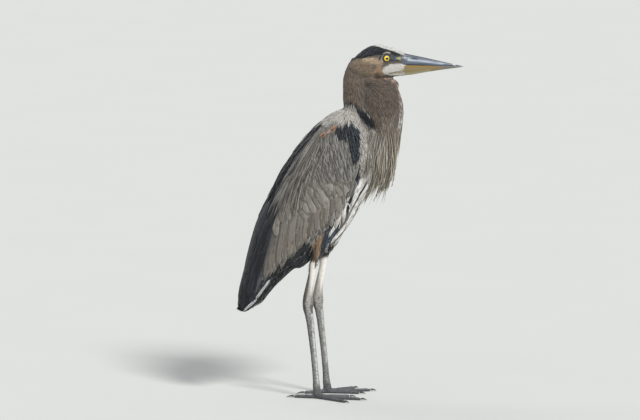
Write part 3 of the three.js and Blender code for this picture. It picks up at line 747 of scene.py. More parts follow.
def width_profile(t, point):
    """A feather's half width along its length, as a share of the widest."""
    lance = np.sin(np.pi * np.clip(t, 0, 1) ** 0.55) ** 0.75
    narrowing = 1 - ((t - 0.55) / 0.45).clip(0, 1) ** 2.4
    rounded = np.minimum(1, (t * 5) ** 0.7) * np.sqrt(np.clip(narrowing, 0, 1))
    return np.maximum(point * lance + (1 - point) * rounded, 0.02)


def starting(owner, starts):
    """Which solids' names start with any of the words."""
    return np.any([np.char.startswith(owner, start) for start in starts], axis=0)


def zone(*starts):
    """Which triangles of the skin belong to solids whose names start so."""
    return starting(STATE["skin"].owner, starts)


def tips_on(roots, reach, *starts):
    """Which feathers of this reach still end on solids whose names start so."""
    skin = STATE["skin"]
    place, normal, _ = skin.nearest(roots)
    ends = skin.nearest(place + along(lie(place), normal) * reach)[2]
    return starting(skin.owner[ends], starts)


def outer(flat, side):
    """Where a line across the bird first meets the skin on that side, for places in the side view."""
    OUTSIDE, INSIDE = 300, 60  # mm from the middle plane
    skin = STATE["skin"]
    found = []
    for x, z in flat:
        hit = skin.tree.ray_cast(Vector((x, side * OUTSIDE, z)), Vector((0, -side, 0)))[0]
        if hit is None:
            hit = skin.tree.find_nearest(Vector((x, side * INSIDE, z)))[0]
        found.append(hit)
    return np.array([tuple(p) for p in found])


def scatter(wanted, rng, spacing):
    """Roots spread evenly over the wanted triangles of the skin, at least a spacing apart."""
    TRIES = 7  # for each place that there is room for
    skin = STATE["skin"]
    a, b, c = (skin.points[skin.triangles[:, k]] for k in range(3))
    keep = np.flatnonzero(wanted)
    size = 0.5 * np.linalg.norm(np.cross(b[keep] - a[keep], c[keep] - a[keep]), axis=1)
    tries = int(size.sum() / spacing**2 * TRIES)
    pick = keep[rng.choice(len(keep), tries, p=size / size.sum())]
    u, v = rng.random((2, tries))
    over = u + v > 1
    u[over], v[over] = 1 - u[over], 1 - v[over]
    points = a[pick] + u[:, None] * (b[pick] - a[pick]) + v[:, None] * (c[pick] - a[pick])
    grid, taken, reach = {}, [], spacing**2
    nearby = [(i, j, k) for i in (-1, 0, 1) for j in (-1, 0, 1) for k in (-1, 0, 1)]
    cells = np.floor(points / spacing).astype(int).tolist()
    for n, ((i, j, k), (x, y, z)) in enumerate(zip(cells, points.tolist())):
        if any(
            (x - qx) ** 2 + (y - qy) ** 2 + (z - qz) ** 2 < reach
            for di, dj, dk in nearby
            for qx, qy, qz in grid.get((i + di, j + dj, k + dk), ())
        ):
            continue
        grid.setdefault((i, j, k), []).append((x, y, z))
        taken.append(n)
    return points[taken]


def lay(roots, cut, rng, heading=None, lengths=None, widths=None, lifts=None, follow=0.5, hang=0.0):
    """Marches feathers over the skin from their roots, or lets them hang clear of it."""
    skin = STATE["skin"]
    count = len(roots)
    lengths = rng.uniform(*cut.length, count) if lengths is None else lengths
    widths = rng.uniform(*cut.width, count) if widths is None else widths
    low, high = np.full(count, cut.lift[0]), np.full(count, cut.lift[1]) * rng.uniform(0.85, 1.15, count)
    if lifts is not None:
        low, high = lifts
    place, normal, index = skin.nearest(roots)
    way = along(lie(place) if heading is None else heading, normal)
    stray = np.radians(rng.normal(0, cut.stray * 0.6, count))[:, None]
    way = along(way * np.cos(stray) + np.cross(normal, way) * np.sin(stray), normal)
    rows = []
    for k in range(cut.rows):
        t = k / (cut.rows - 1)
        half = (0.5 * widths * width_profile(np.array(t), cut.point))[:, None]
        lift = low + (high - low) * t**0.8
        side = unit(np.cross(normal, way))
        centre = place if hang else place + normal * lift[:, None]
        edges = []
        for sign in (-1, 1):
            edge = centre + side * (sign * half) - normal * (cut.cup * half)
            if cut.drape:
                under, up, _ = skin.nearest(edge)
                edge = under + up * (lift * (1 - 0.25 * cut.cup))[:, None]
            edges.append(edge)
        rows.append((centre, *edges, normal.copy()))
        if k == cut.rows - 1:
            break
        ahead = place + way * (lengths / (cut.rows - 1))[:, None]
        under, up, _ = skin.nearest(ahead)
        if hang:
            gap = np.sum((ahead - under) * up, axis=1)
            aim = low + (high - low) * (k + 1) / (cut.rows - 1)
            place = ahead + up * np.clip(aim - gap, 0, 3)[:, None]
            way = unit(way * (1 - hang) + np.array((0, 0, -1.0)) * hang)
            normal = along(normal, way)
        else:
            place, normal = under, up
            flow = lie(place) if heading is None else way
            way = along(way * (1 - follow) + flow * follow, normal)
    return Ribs(rows, skin.uv[index], lengths, widths)


def straight(roots, tips, widths, cut, facing):
    """Feathers that run straight from their roots to their tips, clear of the skin."""
    step = tips - roots
    lengths = np.linalg.norm(step, axis=1)
    up = along(facing, step / lengths[:, None])
    side = unit(np.cross(up, step))
    rows = []
    for t in np.linspace(0, 1, cut.rows):
        half = (0.5 * widths * width_profile(t, cut.point))[:, None]
        centre = roots + step * t
        edges = (centre + side * (sign * half) - up * (cut.cup * half) for sign in (-1, 1))
        rows.append((centre, *edges, up))
    return Ribs(rows, None, lengths, widths)


def vane_faces(steps, columns):
    """The faces of one closed feather, whose rows are rings: strips round it and a cap at each end."""
    ring = 2 * columns
    faces = []
    for k in range(steps - 1):
        for j in range(ring):
            beside = (j + 1) % ring
            faces.append(((k + 1) * ring + j, (k + 1) * ring + beside, k * ring + beside, k * ring + j))
    for row, turned in ((0, False), (steps - 1, True)):
        for j in range(columns):
            a, b = row * ring + j, row * ring + j + 1
            c, d = row * ring + (ring - j - 1) % ring, row * ring + (ring - j) % ring
            face = [a, b, c, d]
            if j == 0:
                face = [a, b, c]
            if j == columns - 1:
                face = [a, b, d]
            faces.append(tuple(reversed(face)) if turned else tuple(face))
    return faces


def vanes(name, ribs, cut, colour, large=False):
    """A joined mesh of thin closed feathers; large ones get a square of their own in the map."""
    PATCH = 0.003  # across a small feather's patch in the map
    rows, places, lengths, widths = ribs
    count, steps, columns = len(lengths), len(rows), 2 * cut.half_columns
    across = np.linspace(-1, 1, columns + 1)
    rings = []
    for k, (centre, left, right, up) in enumerate(rows):
        taper = 0.25 + 0.75 * (1 - k / (steps - 1))
        upper, lower = [], []
        for j in across:
            base = centre + ((right if j > 0 else left) - centre) * abs(j)
            swell = up * (cut.thickness * 0.5 * taper * (1.05 - j * j))
            upper.append(base + swell)
            lower.append(base - swell)
        rings.append(np.stack(upper + lower[-2:0:-1], axis=1))
    points = np.stack(rings, axis=1)  # feather, row, ring place, xyz
    faces = vane_faces(steps, columns)
    each = steps * 2 * columns
    loops = (np.concatenate(faces)[None] + each * np.arange(count)[:, None]).ravel()
    sizes = np.tile([len(face) for face in faces], count)
    mesh = bpy.data.meshes.new(name)
    mesh.vertices.add(count * each)
    mesh.vertices.foreach_set("co", (points.reshape(-1, 3) * MM).ravel())
    mesh.loops.add(len(loops))
    mesh.loops.foreach_set("vertex_index", loops)
    mesh.polygons.add(len(sizes))
    mesh.polygons.foreach_set("loop_start", np.concatenate(([0], np.cumsum(sizes)[:-1])))
    mesh.update(calc_edges=True)
    t = np.repeat(np.linspace(0, 1, steps), 2 * columns)
    u = np.tile(np.concatenate((across, across[-2:0:-1])), steps)
    vane_x = (u * width_profile(t, cut.point))[None] * (widths * 0.05)[:, None]
    vane_y = t[None] * (lengths * 0.1)[:, None]
    patch = PATCH
    if large:
        side = math.ceil(math.sqrt(count))
        number = np.arange(count)
        places = np.column_stack(((number % side + 0.5) / side, (number // side + 0.5) / side))
        patch = 0.9 / side
    corner = np.stack((0.5 * u, t - 0.5), axis=1) * patch
    maps = {"Vane": np.stack((vane_x, vane_y), axis=2), "OFBake": places[:, None, :] + corner[None]}
    for map_name, values in maps.items():
        layer = mesh.uv_layers.new(name=map_name).uv
        layer.foreach_set("vector", values.reshape(-1, 2)[loops].ravel().astype(np.float32))
    set_attribute(mesh, "Coat", np.clip(colour(t, u).reshape(-1, 3), 0, 1))
    mesh.materials.append(material("Feather keratin", feather_keratin))
    return link_piece(name, mesh)


def feather_colour(rows, cut, rng, strokes=MARKINGS, rooted=None):
    """A colouring for vanes(): the marking at each feather's middle, darker or rooted in another colour."""
    CONTRAST, ROOT_SHADE = 0.05, 0.84
    own = markings(rows[max(1, int(round(0.6 * (len(rows) - 1))))][0], cut.base, strokes, rng)
    own = own * np.exp(rng.normal(0, CONTRAST, len(own)))[:, None]

    def tint(t, u):
        if rooted is None:
            tone = ROOT_SHADE + (1 - ROOT_SHADE) * blend_step(t, 0.05, 0.6)
            return own[:, None, :] * tone[None, :, None]
        shown = blend_step(t, 0.05, 0.65)[None, :, None]
        return linear(rooted) * (1 - shown) + own[:, None, :] * shown

    return tint


def two_tone(rows, cut, rng, centre, fringe, spread=0.5):
    """Wing feathers with a pale fringe round a browner middle that shows towards the tip."""
    middle = rows[int(0.7 * len(rows))][0]
    base = markings(middle, cut.base, rng=rng)
    shade = np.exp(rng.normal(0, 0.1, len(base)))[:, None]
    # painted shade: the feathers darker towards the shoulder
    shade *= 1 - 0.2 * blend_step(middle[:, 2], 400, 530)[:, None]  # darker towards the shoulder
    dark, pale = (
        (markings(middle, tone, (), rng) * spread + base * (1 - spread)) * shade for tone in (centre, fringe)
    )

    def tint(t, u):
        side = blend_step(np.abs(u + 0.15), 0.35, 0.95)
        share = (blend_step(t, 0.3, 0.75) * (1 - side))[None, :, None]
        fringed = (side * 0.9)[None, :, None]
        plain = (base * shade)[:, None, :] * (0.75 + 0.25 * blend_step(t, 0.1, 0.5))[None, :, None]
        plain = plain * (1 - share - fringed * (1 - share))
        return plain + dark[:, None, :] * share + pale[:, None, :] * fringed * (1 - share)

    return tint


def coat_piece(name, slot, cut, roots, seed, strokes=MARKINGS, wanted=None, rooted=None, **laid):
    """A piece of small feathers; wanted tells by their tips which to keep, rooted is the roots' colour."""
    rng = np.random.default_rng(seed)
    ribs = lay(roots, cut, rng, **laid)
    if wanted:
        keep = wanted(ribs.rows[-1][0])
        rows = [tuple(part[keep] for part in row) for row in ribs.rows]
        ribs = Ribs(rows, ribs.places[keep], ribs.lengths[keep], ribs.widths[keep])
    vanes(name, ribs, cut, feather_colour(ribs.rows, cut, rng, strokes, rooted))


def shared_out(name, slot, cut, roots, seed, **laid):
    """One coat piece, or several where there are too many feathers for one."""
    LIMIT = 150000  # triangles
    parts = math.ceil(len(roots) * 8 * cut.half_columns * cut.rows / LIMIT)
    for number in range(parts):
        part_name = f"{name}_{number + 1}" if parts > 1 else name
        coat_piece(part_name, slot, cut, roots[number::parts], seed + number, **laid)


def rowed(roots, tips, count, rng, jitter=2.0):
    """Feathers from one line of places to another in the side view: roots, headings and lengths."""

    def spread(path):
        path = np.array(path, float)
        run = np.concatenate(([0], np.cumsum(np.linalg.norm(np.diff(path, axis=0), axis=1))))
        t = np.linspace(0, run[-1], count)
        return np.column_stack((np.interp(t, run, path[:, 0]), np.interp(t, run, path[:, 1])))

    start = spread(roots) + rng.normal(0, jitter, (count, 2))
    step = spread(tips) + rng.normal(0, jitter, (count, 2)) - start
    length = np.linalg.norm(step, axis=1)
    return start, np.column_stack((step[:, 0], np.zeros(count), step[:, 1])) / length[:, None], length


def long_feathers(name, cut, lines, count, seed, width, lifts, tone=None, strokes=MARKINGS):
    """A row of large feathers on each wing, each following the wing from its own root to its own tip.

    lifts are the first feather's height at its root, the last one's beyond that, and the tips' beyond
    the roots'.
    """
    rng = np.random.default_rng(seed)
    roots, headings, lengths = [], [], []
    for side in SIDES.values():
        start, heading, length = rowed(*lines, count, rng)
        roots.append(outer(start, side))
        headings.append(heading)
        lengths.append(length)
    low = lifts[0] + lifts[1] * np.tile(np.linspace(0, 1, count), 2)
    ribs = lay(
        np.vstack(roots), cut, rng, heading=np.vstack(headings), lengths=np.concatenate(lengths),
        widths=rng.uniform(*width, 2 * count), lifts=(low, low + lifts[2]), follow=0.0,
    )
    tint = two_tone(ribs.rows, cut, rng, *tone) if tone else feather_colour(ribs.rows, cut, rng, strokes)
    vanes(name, ribs, cut, tint, large=True)


# ---------------------------------------------------------------- pieces
class HeronPiece(bpy.types.Operator):
    """What every operator of this add-on shares."""

    bl_options = {"REGISTER", "UNDO"}
    seed = 0
    needs_skin = True

    def execute(self, context):
        if self.needs_skin and not STATE:
            raise RuntimeError("the skin has to be made first")
        self.make(context.scene.heron, np.random.default_rng(self.seed))
        return {"FINISHED"}


class HERON_OT_skin(HeronPiece):
    """One skin over the whole body, with lids, toe scutes and scaled legs"""

    bl_idname = "heron.skin"
    bl_label = "Skin"
    needs_skin = False

    def make(self, sizes, rng):
        TRIM, LEAST = 0.35, 0.3  # mm more than the coat's depth, and the least depth of all
        SHARE, SPARED = 0.38, 0.3  # of the room inside, how much may be cut away, less these mm
        mesh = remeshed(joined_flesh())
        refine_near_eyes(mesh)
        points, normals = coordinates(mesh), vertex_normals(mesh)
        soles = points[:, 2] < 0.6
        room = room_inside(mesh, points, normals)
        depth = np.minimum(coat_depth(points) + TRIM, np.maximum(SHARE * room - SPARED, LEAST))
        set_coordinates(mesh, points - normals * depth[:, None])
        points, normals = coordinates(mesh), vertex_normals(mesh)
        points = shape_toes(shape_face(points), normals)
        points[:, 2] = np.where(soles | (points[:, 2] < 0), 0.0, points[:, 2])
        set_coordinates(mesh, points)
        bare = bareness(points)
        set_attribute(mesh, "Coat", skin_colour(points, bare))
        set_attribute(mesh, "Bare", bare * (1 - 0.75 * blend_step(points[:, 2], 214, 238)))
        mesh.materials.append(material("Scaled leg skin", scaled_leg_skin))
        unwrap(link_piece("skin", mesh, FLESH))
        STATE["skin"] = Skin(mesh)


class HERON_OT_face(HeronPiece):
    """The smallest feathers, over the face, throat and crown"""

    bl_idname = "heron.face"
    bl_label = "Face and crown"
    seed = 11

    def make(self, sizes, rng):
        BILL_EDGE = 122  # x where the feathers meet the bill
        middle = STATE["skin"].middle
        x, _, z = middle.T
        head = (zone("head") | (zone("neck") & (z > 722))) & (x < BILL_EDGE)
        # the naked lores, in front of the eye
        lores = Stroke((), ((89, 752, 4.5), (104, 749.5, 4.5), (116, 748.5, 4)), 2)
        head &= (eye_distance(middle) > 9.8) & (stroke_cover(lores, middle) < 0.5)
        spacing = sizes.face_spacing / MM
        small = Cut(
            (4.2, 6.0), (1.3, 1.7), (0.15, 0.9), rows=3, thickness=0.2, point=0.7, stray=8, base=TAUPE
        )
        shared_out("face_feathers", "neck", small, scatter(head & (x > 50), rng, spacing), 12)
        crown = head & ((x <= 54) | (z > 764))
        longer = Cut((9, 14), (1.7, 2.3), (0.2, 1.4), rows=4, thickness=0.22, point=0.75, base=TAUPE)
        shared_out("crown_feathers", "neck", longer, scatter(crown, rng, spacing * 1.3), 14)


class HERON_OT_neck(HeronPiece):
    """Slim feathers down both limbs of the neck"""

    bl_idname = "heron.neck"
    bl_label = "Neck"
    seed = 21

    def make(self, sizes, rng):
        neck = zone("neck") & (STATE["skin"].middle[:, 2] <= 726)
        cut = Cut((14, 21), (1.8, 2.4), (0.5, 1.7), rows=4, thickness=0.2, point=0.8, stray=3, base=TAUPE)
        shared_out("neck_feathers", "neck", cut, scatter(neck, rng, sizes.neck_spacing / MM), 22)


class HERON_OT_plumes(HeronPiece):
    """Long narrow plumes that sweep down and back from the foot of the neck"""

    bl_idname = "heron.plumes"
    bl_label = "Breast plumes"
    seed = 31

    def make(self, sizes, rng):
        x, y, z = STATE["skin"].middle.T
        front = zone("neck_breast", "neck_throat") & (z > 500) & (z < 606)
        front &= x > 58 + 0.5 * np.maximum(z - 560, 0)
        cut = Cut((50, 95), (1.8, 2.8), (1.6, 5.5), rows=8, point=0.95, stray=4, cup=0.15, base=BUFF)

        def behind_the_front(tips):
            return tips[:, 0] < np.interp(tips[:, 2], (430, 470, 500, 540), (80, 92, 101, 110))

        coat_piece(
            "breast_plumes", "neck", cut, scatter(front, rng, 4.4), 32, strokes=(), wanted=behind_the_front,
            rooted="#786d61", hang=0.05,
        )
        beside = zone("neck", "trunk") & (z > 522) & (z < 590) & (x > 36) & (x < 76) & (np.abs(y) > 14)
        cut = cut._replace(length=(34, 60), width=(1.8, 2.7), lift=(2.2, 4.6), rows=6, base=FAWN)
        roots = scatter(beside, rng, 4.6)
        down = np.full(len(roots), -0.95)
        heading = unit(np.column_stack((rng.uniform(-0.4, -0.15, len(roots)), np.zeros(len(roots)), down)))
        coat_piece(
            "side_plumes", "neck", cut, roots, 34, strokes=(), rooted="#7d7469", heading=heading, hang=0.05
        )


class HERON_OT_body_coat(HeronPiece):
    """Soft cover over back, breast, flanks and the inner faces of the wings"""

    bl_idname = "heron.body_coat"
    bl_label = "Body"
    seed = 41

    def make(self, sizes, rng):
        middle = STATE["skin"].middle
        x, _, z = middle.T
        feathered = bareness(middle) < 0.5
        shoulder = zone("trunk", "wing") & feathered & (z > 490) & (x > -70) & (z > 560 - 1.4 * (x + 10))
        small = Cut(
            (15, 21), (5.0, 6.6), (1.8, 2.4), rows=4, thickness=0.15, point=0.4, stray=3, cup=0.2, base=GREY
        )

        def off_the_patch(tips):
            return (stroke_cover(WRIST, tips) < 0.3) | (np.abs(tips[:, 1]) < 30)

        roots = scatter(shoulder, rng, 3.4)
        shared_out("shoulder_feathers", "feathers", small, roots, 42, wanted=off_the_patch)
        rest = zone("trunk", "tail") & feathered & ~shoulder & ~belly_zone()
        cover = Cut((34, 48), (8, 11), (1.0, 4.2), thickness=0.4, point=0.5, cup=0.15)
        shared_out("body_feathers", "feathers", cover, scatter(rest, rng, 7.5), 44)
        under = zone("wing", "flight") & feathered & ~shoulder
        flat = Cut((36, 48), (10, 13), (0.1, 0.9), thickness=0.3, point=0.4, cup=0.1)
        shared_out("wing_lining", "feathers", flat, scatter(under, rng, 8.5), 46)


def belly_zone():
    """The underside, from the foot of the neck to between the thighs."""
    x, _, z = STATE["skin"].middle.T
    return zone("trunk") & (z < 524) & (z > 312) & (x > -78)


class HERON_OT_belly(HeronPiece):
    """White and black streaks of long feathers along the breast and belly"""

    bl_idname = "heron.belly"
    bl_label = "Belly"
    seed = 51

    def make(self, sizes, rng):
        roots = scatter(belly_zone(), rng, 5.2)
        far, near = (tips_on(roots, reach, "trunk", "tail", "thigh") for reach in (56, 24))
        cut = Cut(
            (54, 76), (6.5, 8.5), (1.2, 2.8), rows=8, thickness=0.25, point=0.55, stray=1.5, cup=0.25,
            base=WHITE,
        )
        shared_out("belly_feathers", "feathers", cut, roots[far], 52)
        short = cut._replace(length=(16, 24), width=(3.6, 5), lift=(1.0, 1.8), point=0.85, rows=4)
        shared_out("belly_edge", "feathers", short, roots[near & ~far], 54)


class HERON_OT_thighs(HeronPiece):
    """Close short feathers on the thighs"""

    bl_idname = "heron.thighs"
    bl_label = "Thighs"
    seed = 61

    def make(self, sizes, rng):
        TAWNY = ("#80705f", "#8b7a68", "#746453")
        middle = STATE["skin"].middle
        feathered = (bareness(middle) < 0.6) & (middle[:, 2] > 312)
        cut = Cut((10, 14), (2.6, 3.4), (0.3, 1.2), rows=4, thickness=0.25, point=0.7, stray=4, base=TAWNY)
        roots = scatter(zone("thigh", "shank") & feathered, rng, 2.9)
        shared_out("thigh_feathers", "feathers", cut, roots, 62)


class HERON_OT_wrist(HeronPiece):
    """The black, slightly ruffled patch at the bend of each wing, and the rusty streak above it"""

    bl_idname = "heron.wrist"
    bl_label = "Wrist patch"
    seed = 71

    def make(self, sizes, rng):
        middle = STATE["skin"].middle
        raised = middle - (0, 0, 7)  # the roots lie above the patch that the feathers cover
        area = zone("wing", "trunk") & (stroke_cover(WRIST, raised) > 0.4) & (np.abs(middle[:, 1]) > 30)
        cut = Cut((17, 24), (5, 7), (3.4, 6.4), point=0.6, stray=9, cup=0.25, base=SLATE)
        coat_piece("wrist_feathers", "feathers", cut, scatter(area, rng, 4.2), 72)
        self.rust_streak(np.random.default_rng(73))

    def rust_streak(self, rng):
        """A few rusty feathers that point back from the top of the patch."""
        COUNT = 10
        RUST = ("#a8765a", "#987259", "#b38b70", "#9c8673", "#c9b7a4")
        share = np.linspace(0, 1, COUNT)
        flat = np.column_stack((-24 - 26 * share, 606 - 15 * share)) + rng.normal(0, 1.2, (COUNT, 2))
        roots = np.vstack([outer(flat, side) for side in SIDES.values()])
        heading = np.tile(unit(np.array([[-0.84, 0, -0.54]])), (len(roots), 1))
        cut = Cut((14, 20), (3.6, 5), (4.2, 4.8), thickness=0.3, point=0.5, stray=14, drape=True, base=RUST)
        coat_piece("wrist_streak", "feathers", cut, roots, 74, strokes=(), heading=heading, follow=0.0)


class HERON_OT_coverts(HeronPiece):
    """Broad overlapping coverts in rows down the wing, and slim lesser ones over the top of it"""

    bl_idname = "heron.coverts"
    bl_label = "Wing coverts"
    seed = 81

    def make(self, sizes, rng):
        ACROSS, DOWN = 13.0, 15.0  # mm from one covert to the next
        WING_TOP = 590
        tone = (("#736a5f", "#7a7066", "#6c6358", "#80776c"), ("#9d9a95", "#96938d", "#a5a29d"))
        cut = Cut(
            (42, 54), (16, 21), (0, 0), rows=7, half_columns=2, thickness=0.16, point=0.7, stray=7, drape=True
        )
        flat = []
        for row in range(18):
            for column in range(15):
                x = 14 - ACROSS * (column + 0.5 * (row % 2))
                z = 594 - DOWN * row - 0.5 * (14 - x)
                scapular_edge = -54 - 0.66 * (WING_TOP - z)
                lower_edge = 414 + 0.12 * (x + 38)
                if scapular_edge < x < 20 - 0.1 * (WING_TOP - z) and z > lower_edge:
                    flat.append((x, z))
        flat = np.array(flat)
        roots = np.vstack([outer(flat + rng.normal(0, 3.2, flat.shape), side) for side in SIDES.values()])
        roots = roots[np.abs(roots[:, 1]) > 24]
        low = 2.9 + rng.uniform(-0.2, 0.2, len(roots))
        ribs = lay(roots, cut, rng, lifts=(low, low + 0.7))
        vanes("wing_coverts", ribs, cut, two_tone(ribs.rows, cut, rng, *tone, 0.6), large=True)
        x, y, z = STATE["skin"].middle.T
        upper = zone("wing") & (z > 508) & (np.abs(y) > 30) & (x > -50 - 0.66 * (WING_TOP - z))
        upper &= stroke_cover(WRIST, STATE["skin"].middle) < 0.2
        small = Cut(
            (24, 36), (5, 7.5), (3.3, 4.1), thickness=0.15, point=0.8, stray=7, drape=True,
            base=("#6f6c67", "#7c7974", "#827f7a", "#67635e", "#77736c"),
        )
        coat_piece("lesser_coverts", "feathers", small, scatter(upper, rng, 4.6), 83, strokes=(WRIST,))


class HERON_OT_flight(HeronPiece):
    """The long flight feathers of the folded wings, and the dark ones along the back"""

    bl_idname = "heron.flight"
    bl_label = "Flight feathers"
    seed = 96

    def make(self, sizes, rng):
        dark = Cut(rows=10, half_columns=2, thickness=0.5, point=0.35, stray=2, drape=True, base=SLATE)
        brown = dark._replace(base=("#7b7670", "#756e66", "#827d77", "#6c645b"))
        tone = (("#6a6259", "#71695e", "#61594f"), ("#8f8c87", "#87837c", "#97938d"), 0.7)
        # each row has the line of its roots and the line of its tips, in the side view
        primaries = (
            ((-88, 345), (-120, 372), (-150, 405), (-165, 420)),
            ((-128, 296), (-180, 246), (-218, 208), (-246, 190)),
        )
        secondaries = (
            ((-30, 500), (-72, 472), (-118, 440), (-165, 405)),
            ((-40, 388), (-92, 342), (-140, 300), (-190, 256)),
        )
        inner = (
            ((-6, 520), (-50, 500), (-92, 470), (-132, 440)),
            ((-12, 420), (-66, 374), (-112, 332), (-164, 290)),
        )
        back = (
            ((-100, 577), (-139, 530), (-171, 476), (-200, 407)),
            ((-188, 415), (-220, 335), (-240, 255), (-249, 196)),
        )
        behind = (((-170, 455), (-190, 405), (-205, 350)), ((-215, 290), (-233, 235), (-242, 192)))
        front = (((19, 534), (15, 508), (7, 480)), ((8, 474), (1, 452), (-8, 428)))
        long_feathers("primaries", dark, primaries, 18, 91, (20, 24), (0.6, 0.6, 1.4))
        long_feathers("secondaries", brown, secondaries, 17, 92, (19, 23), (1.0, 0.7, 1.6), tone)
        long_feathers("inner_secondaries", brown, inner, 15, 93, (19, 23), (1.8, 0.7, 2.0), tone)
        # the dark band along the back: dark slate feathers, darker still with painted shade
        dark = dark._replace(point=0.1)
        long_feathers("back_feathers", dark, back, 14, 94, (15, 19), (2.8, 0.6, 1.6))
        long_feathers("back_tips", dark, behind, 8, 95, (18, 22), (2.0, 0.6, 2.0))
        edge = dark._replace(point=0.5, rows=8)
        long_feathers("front_edge", edge, front, 7, 97, (7, 9), (1.2, 0.6, 0.8), strokes=())
        self.tip_edges(rng)

    def tip_edges(self, rng):
        """Round dark wing tips, and dark feathers over the tail beside them, with painted highlights along
        their edges.
        """
        tips = Cut(rows=8, half_columns=2, thickness=0.5, point=0.1, cup=0.2, base=SLATE)
        edged = tips._replace(rows=7, point=0.35, thickness=0.4)
        dark_lines = (((-222, 268), (-214, 262), (-203, 256)), ((-244, 204), (-241, 194), (-236, 191)))
        pale_lines = (((-176, 264), (-190, 240), (-204, 220)), ((-200, 226), (-216, 207), (-235, 191)))
        self.tip_row("tip_feathers", dark_lines, 7, tips, rng, (13, 16), 1.2)
        # the pale colour is a painted highlight along the feathers' edges
        self.tip_row("tip_edges", pale_lines, 9, edged, rng, (4.5, 6), 4.4, ("#3c4247", "#c9ccc9"))

    def tip_row(self, name, lines, count, cut, rng, width, lift, two=()):
        """A row on each wing; with two colours, its feathers face straight out, dark with a painted highlight
        along the edge.
        """
        roots, ends, facing = [], [], []
        for side in SIDES.values():
            start, heading, length = rowed(*lines, count, rng, 0.6)
            end = start + heading[:, (0, 2)] * length[:, None]
            out = np.array((0, side * lift, 0))
            root, tip = outer(start, side) + out, outer(end, side) + out
            if two:
                root[:, 1] = outer(start + (-9, 7), side)[:, 1] + out[1]
                facing.append(np.tile((0, side, 0.0), (count, 1)))
            else:
                facing.append(unit(STATE["skin"].nearest(0.5 * (root + tip))[1] + (0, 0.3 * side, 0)))
            tip[:, (0, 2)] = end
            roots.append(root)
            ends.append(tip)
        roots, ends, facing = (np.vstack(stack) for stack in (roots, ends, facing))
        ribs = straight(roots, ends, rng.uniform(*width, len(roots)), cut, facing)

        def edged(t, u):
            pale = blend_step(np.abs(u), 0.25, 0.5)[None, :, None] * np.ones((len(roots), 1, 1))
            return linear(two[0]) * (1 - pale) + linear(two[1]) * pale

        tint = edged if two else feather_colour(ribs.rows, cut, rng, ())
        vanes(name, ribs, cut, tint, large=True)


class HERON_OT_scapulars(HeronPiece):
    """Stringy plumes that fall from the shoulders along the back"""

    bl_idname = "heron.scapulars"
    bl_label = "Scapular plumes"
    seed = 101

    def make(self, sizes, rng):
        COUNT = 210
        TONES = ("#7a756e", "#918c84", "#66615a", "#4b4742", "#746e67", "#45413c", "#a09a90")
        roots, headings = [], []
        for side in SIDES.values():
            down, inward = rng.random(COUNT), rng.random(COUNT) ** 1.3
            x = -62 - 80 * down + 30 * inward
            z = 600 - 118 * down - 6 * inward
            roots.append(outer(np.column_stack((x, z)), side))
            headings.append(np.column_stack((-0.42 + 0.2 * inward, np.zeros(COUNT), np.full(COUNT, -0.93))))
        cut = Cut(
            (60, 105), (2.0, 3.2), (3.0, 4.6), rows=9, thickness=0.25, point=0.9, stray=8, cup=0.1, base=TONES
        )
        ribs = lay(np.vstack(roots), cut, rng, heading=unit(np.vstack(headings)), follow=0.0)
        # the plumes near the middle of the back take the back band's painted shade
        vanes("scapular_plumes", ribs, cut, feather_colour(ribs.rows, cut, rng, MARKINGS[:1]))


class HERON_OT_tail(HeronPiece):
    """Twelve tail feathers, mostly hidden under the folded wings"""

    bl_idname = "heron.tail"
    bl_label = "Tail"
    seed = 111

    def make(self, sizes, rng):
        # slate grey feathers darkened nearly to black with painted shade
        TONES = ("#2a2f36", "#31363e", "#23282e")
        cut = Cut(
            (100, 118), (18, 22), (0.8, 2.6), rows=8, half_columns=2, thickness=0.5, point=0.2, stray=2,
            drape=True, base=TONES,
        )
        share = np.linspace(0, 1, 6)
        flat = np.column_stack((-168 - 10 * share, 296 - 26 * share))
        roots = np.vstack([outer(flat, side) for side in SIDES.values()])
        heading = np.tile((-0.72, 0, -0.69), (len(roots), 1))
        ribs = lay(roots, cut, rng, heading=heading, follow=0.0)
        vanes("tail_feathers", ribs, cut, feather_colour(ribs.rows, cut, rng, ()), large=True)


# ---------------------------------------------------------------- bill, eyes, claws
class Bill(NamedTuple):
    """A mandible in the side view: top x, top z, bottom x, bottom z and half width at each station."""

    stations: tuple
    section: tuple  # (share of the half width, share of the height) from the top down one side
    groove: float


UPPER = Bill(
    ((110, 762.9, 109, 736.4, 10.7), (124, 758.6, 122, 734.5, 10.2), (138, 755.8, 138, 734.2, 8.6),
     (165, 750.2, 165, 733.2, 6.6), (195, 743.2, 195, 731.9, 4.8), (222, 737.0, 222, 730.9, 3.0),
     (241, 732.8, 241, 730.3, 1.5), (249.0, 731.0, 248.9, 730.0, 0.6)),
    ((0, 1), (0.3, 0.97), (0.55, 0.86), (0.7, 0.71), (0.86, 0.56), (0.97, 0.34), (1.0, 0.12), (0.93, 0.0),
     (0.5, 0.03), (0, 0.05)),
    1.0,
)
LOWER = Bill(
    ((109, 735.9, 111, 710.4, 10.4), (122, 734.0, 124, 711.0, 9.7), (138, 733.7, 138, 712.4, 8.1),
     (165, 732.7, 165, 717.6, 6.1), (195, 731.4, 195, 722.4, 4.3), (222, 730.4, 222, 726.2, 2.6),
     (238, 729.9, 238, 728.1, 1.2), (244.0, 729.6, 244, 728.9, 0.5)),
    ((0, 0.97), (0.5, 0.98), (0.93, 1.0), (1.0, 0.9), (0.97, 0.7), (0.86, 0.45), (0.66, 0.22),
     (0.36, 0.05), (0, 0)),
    0.0,
)


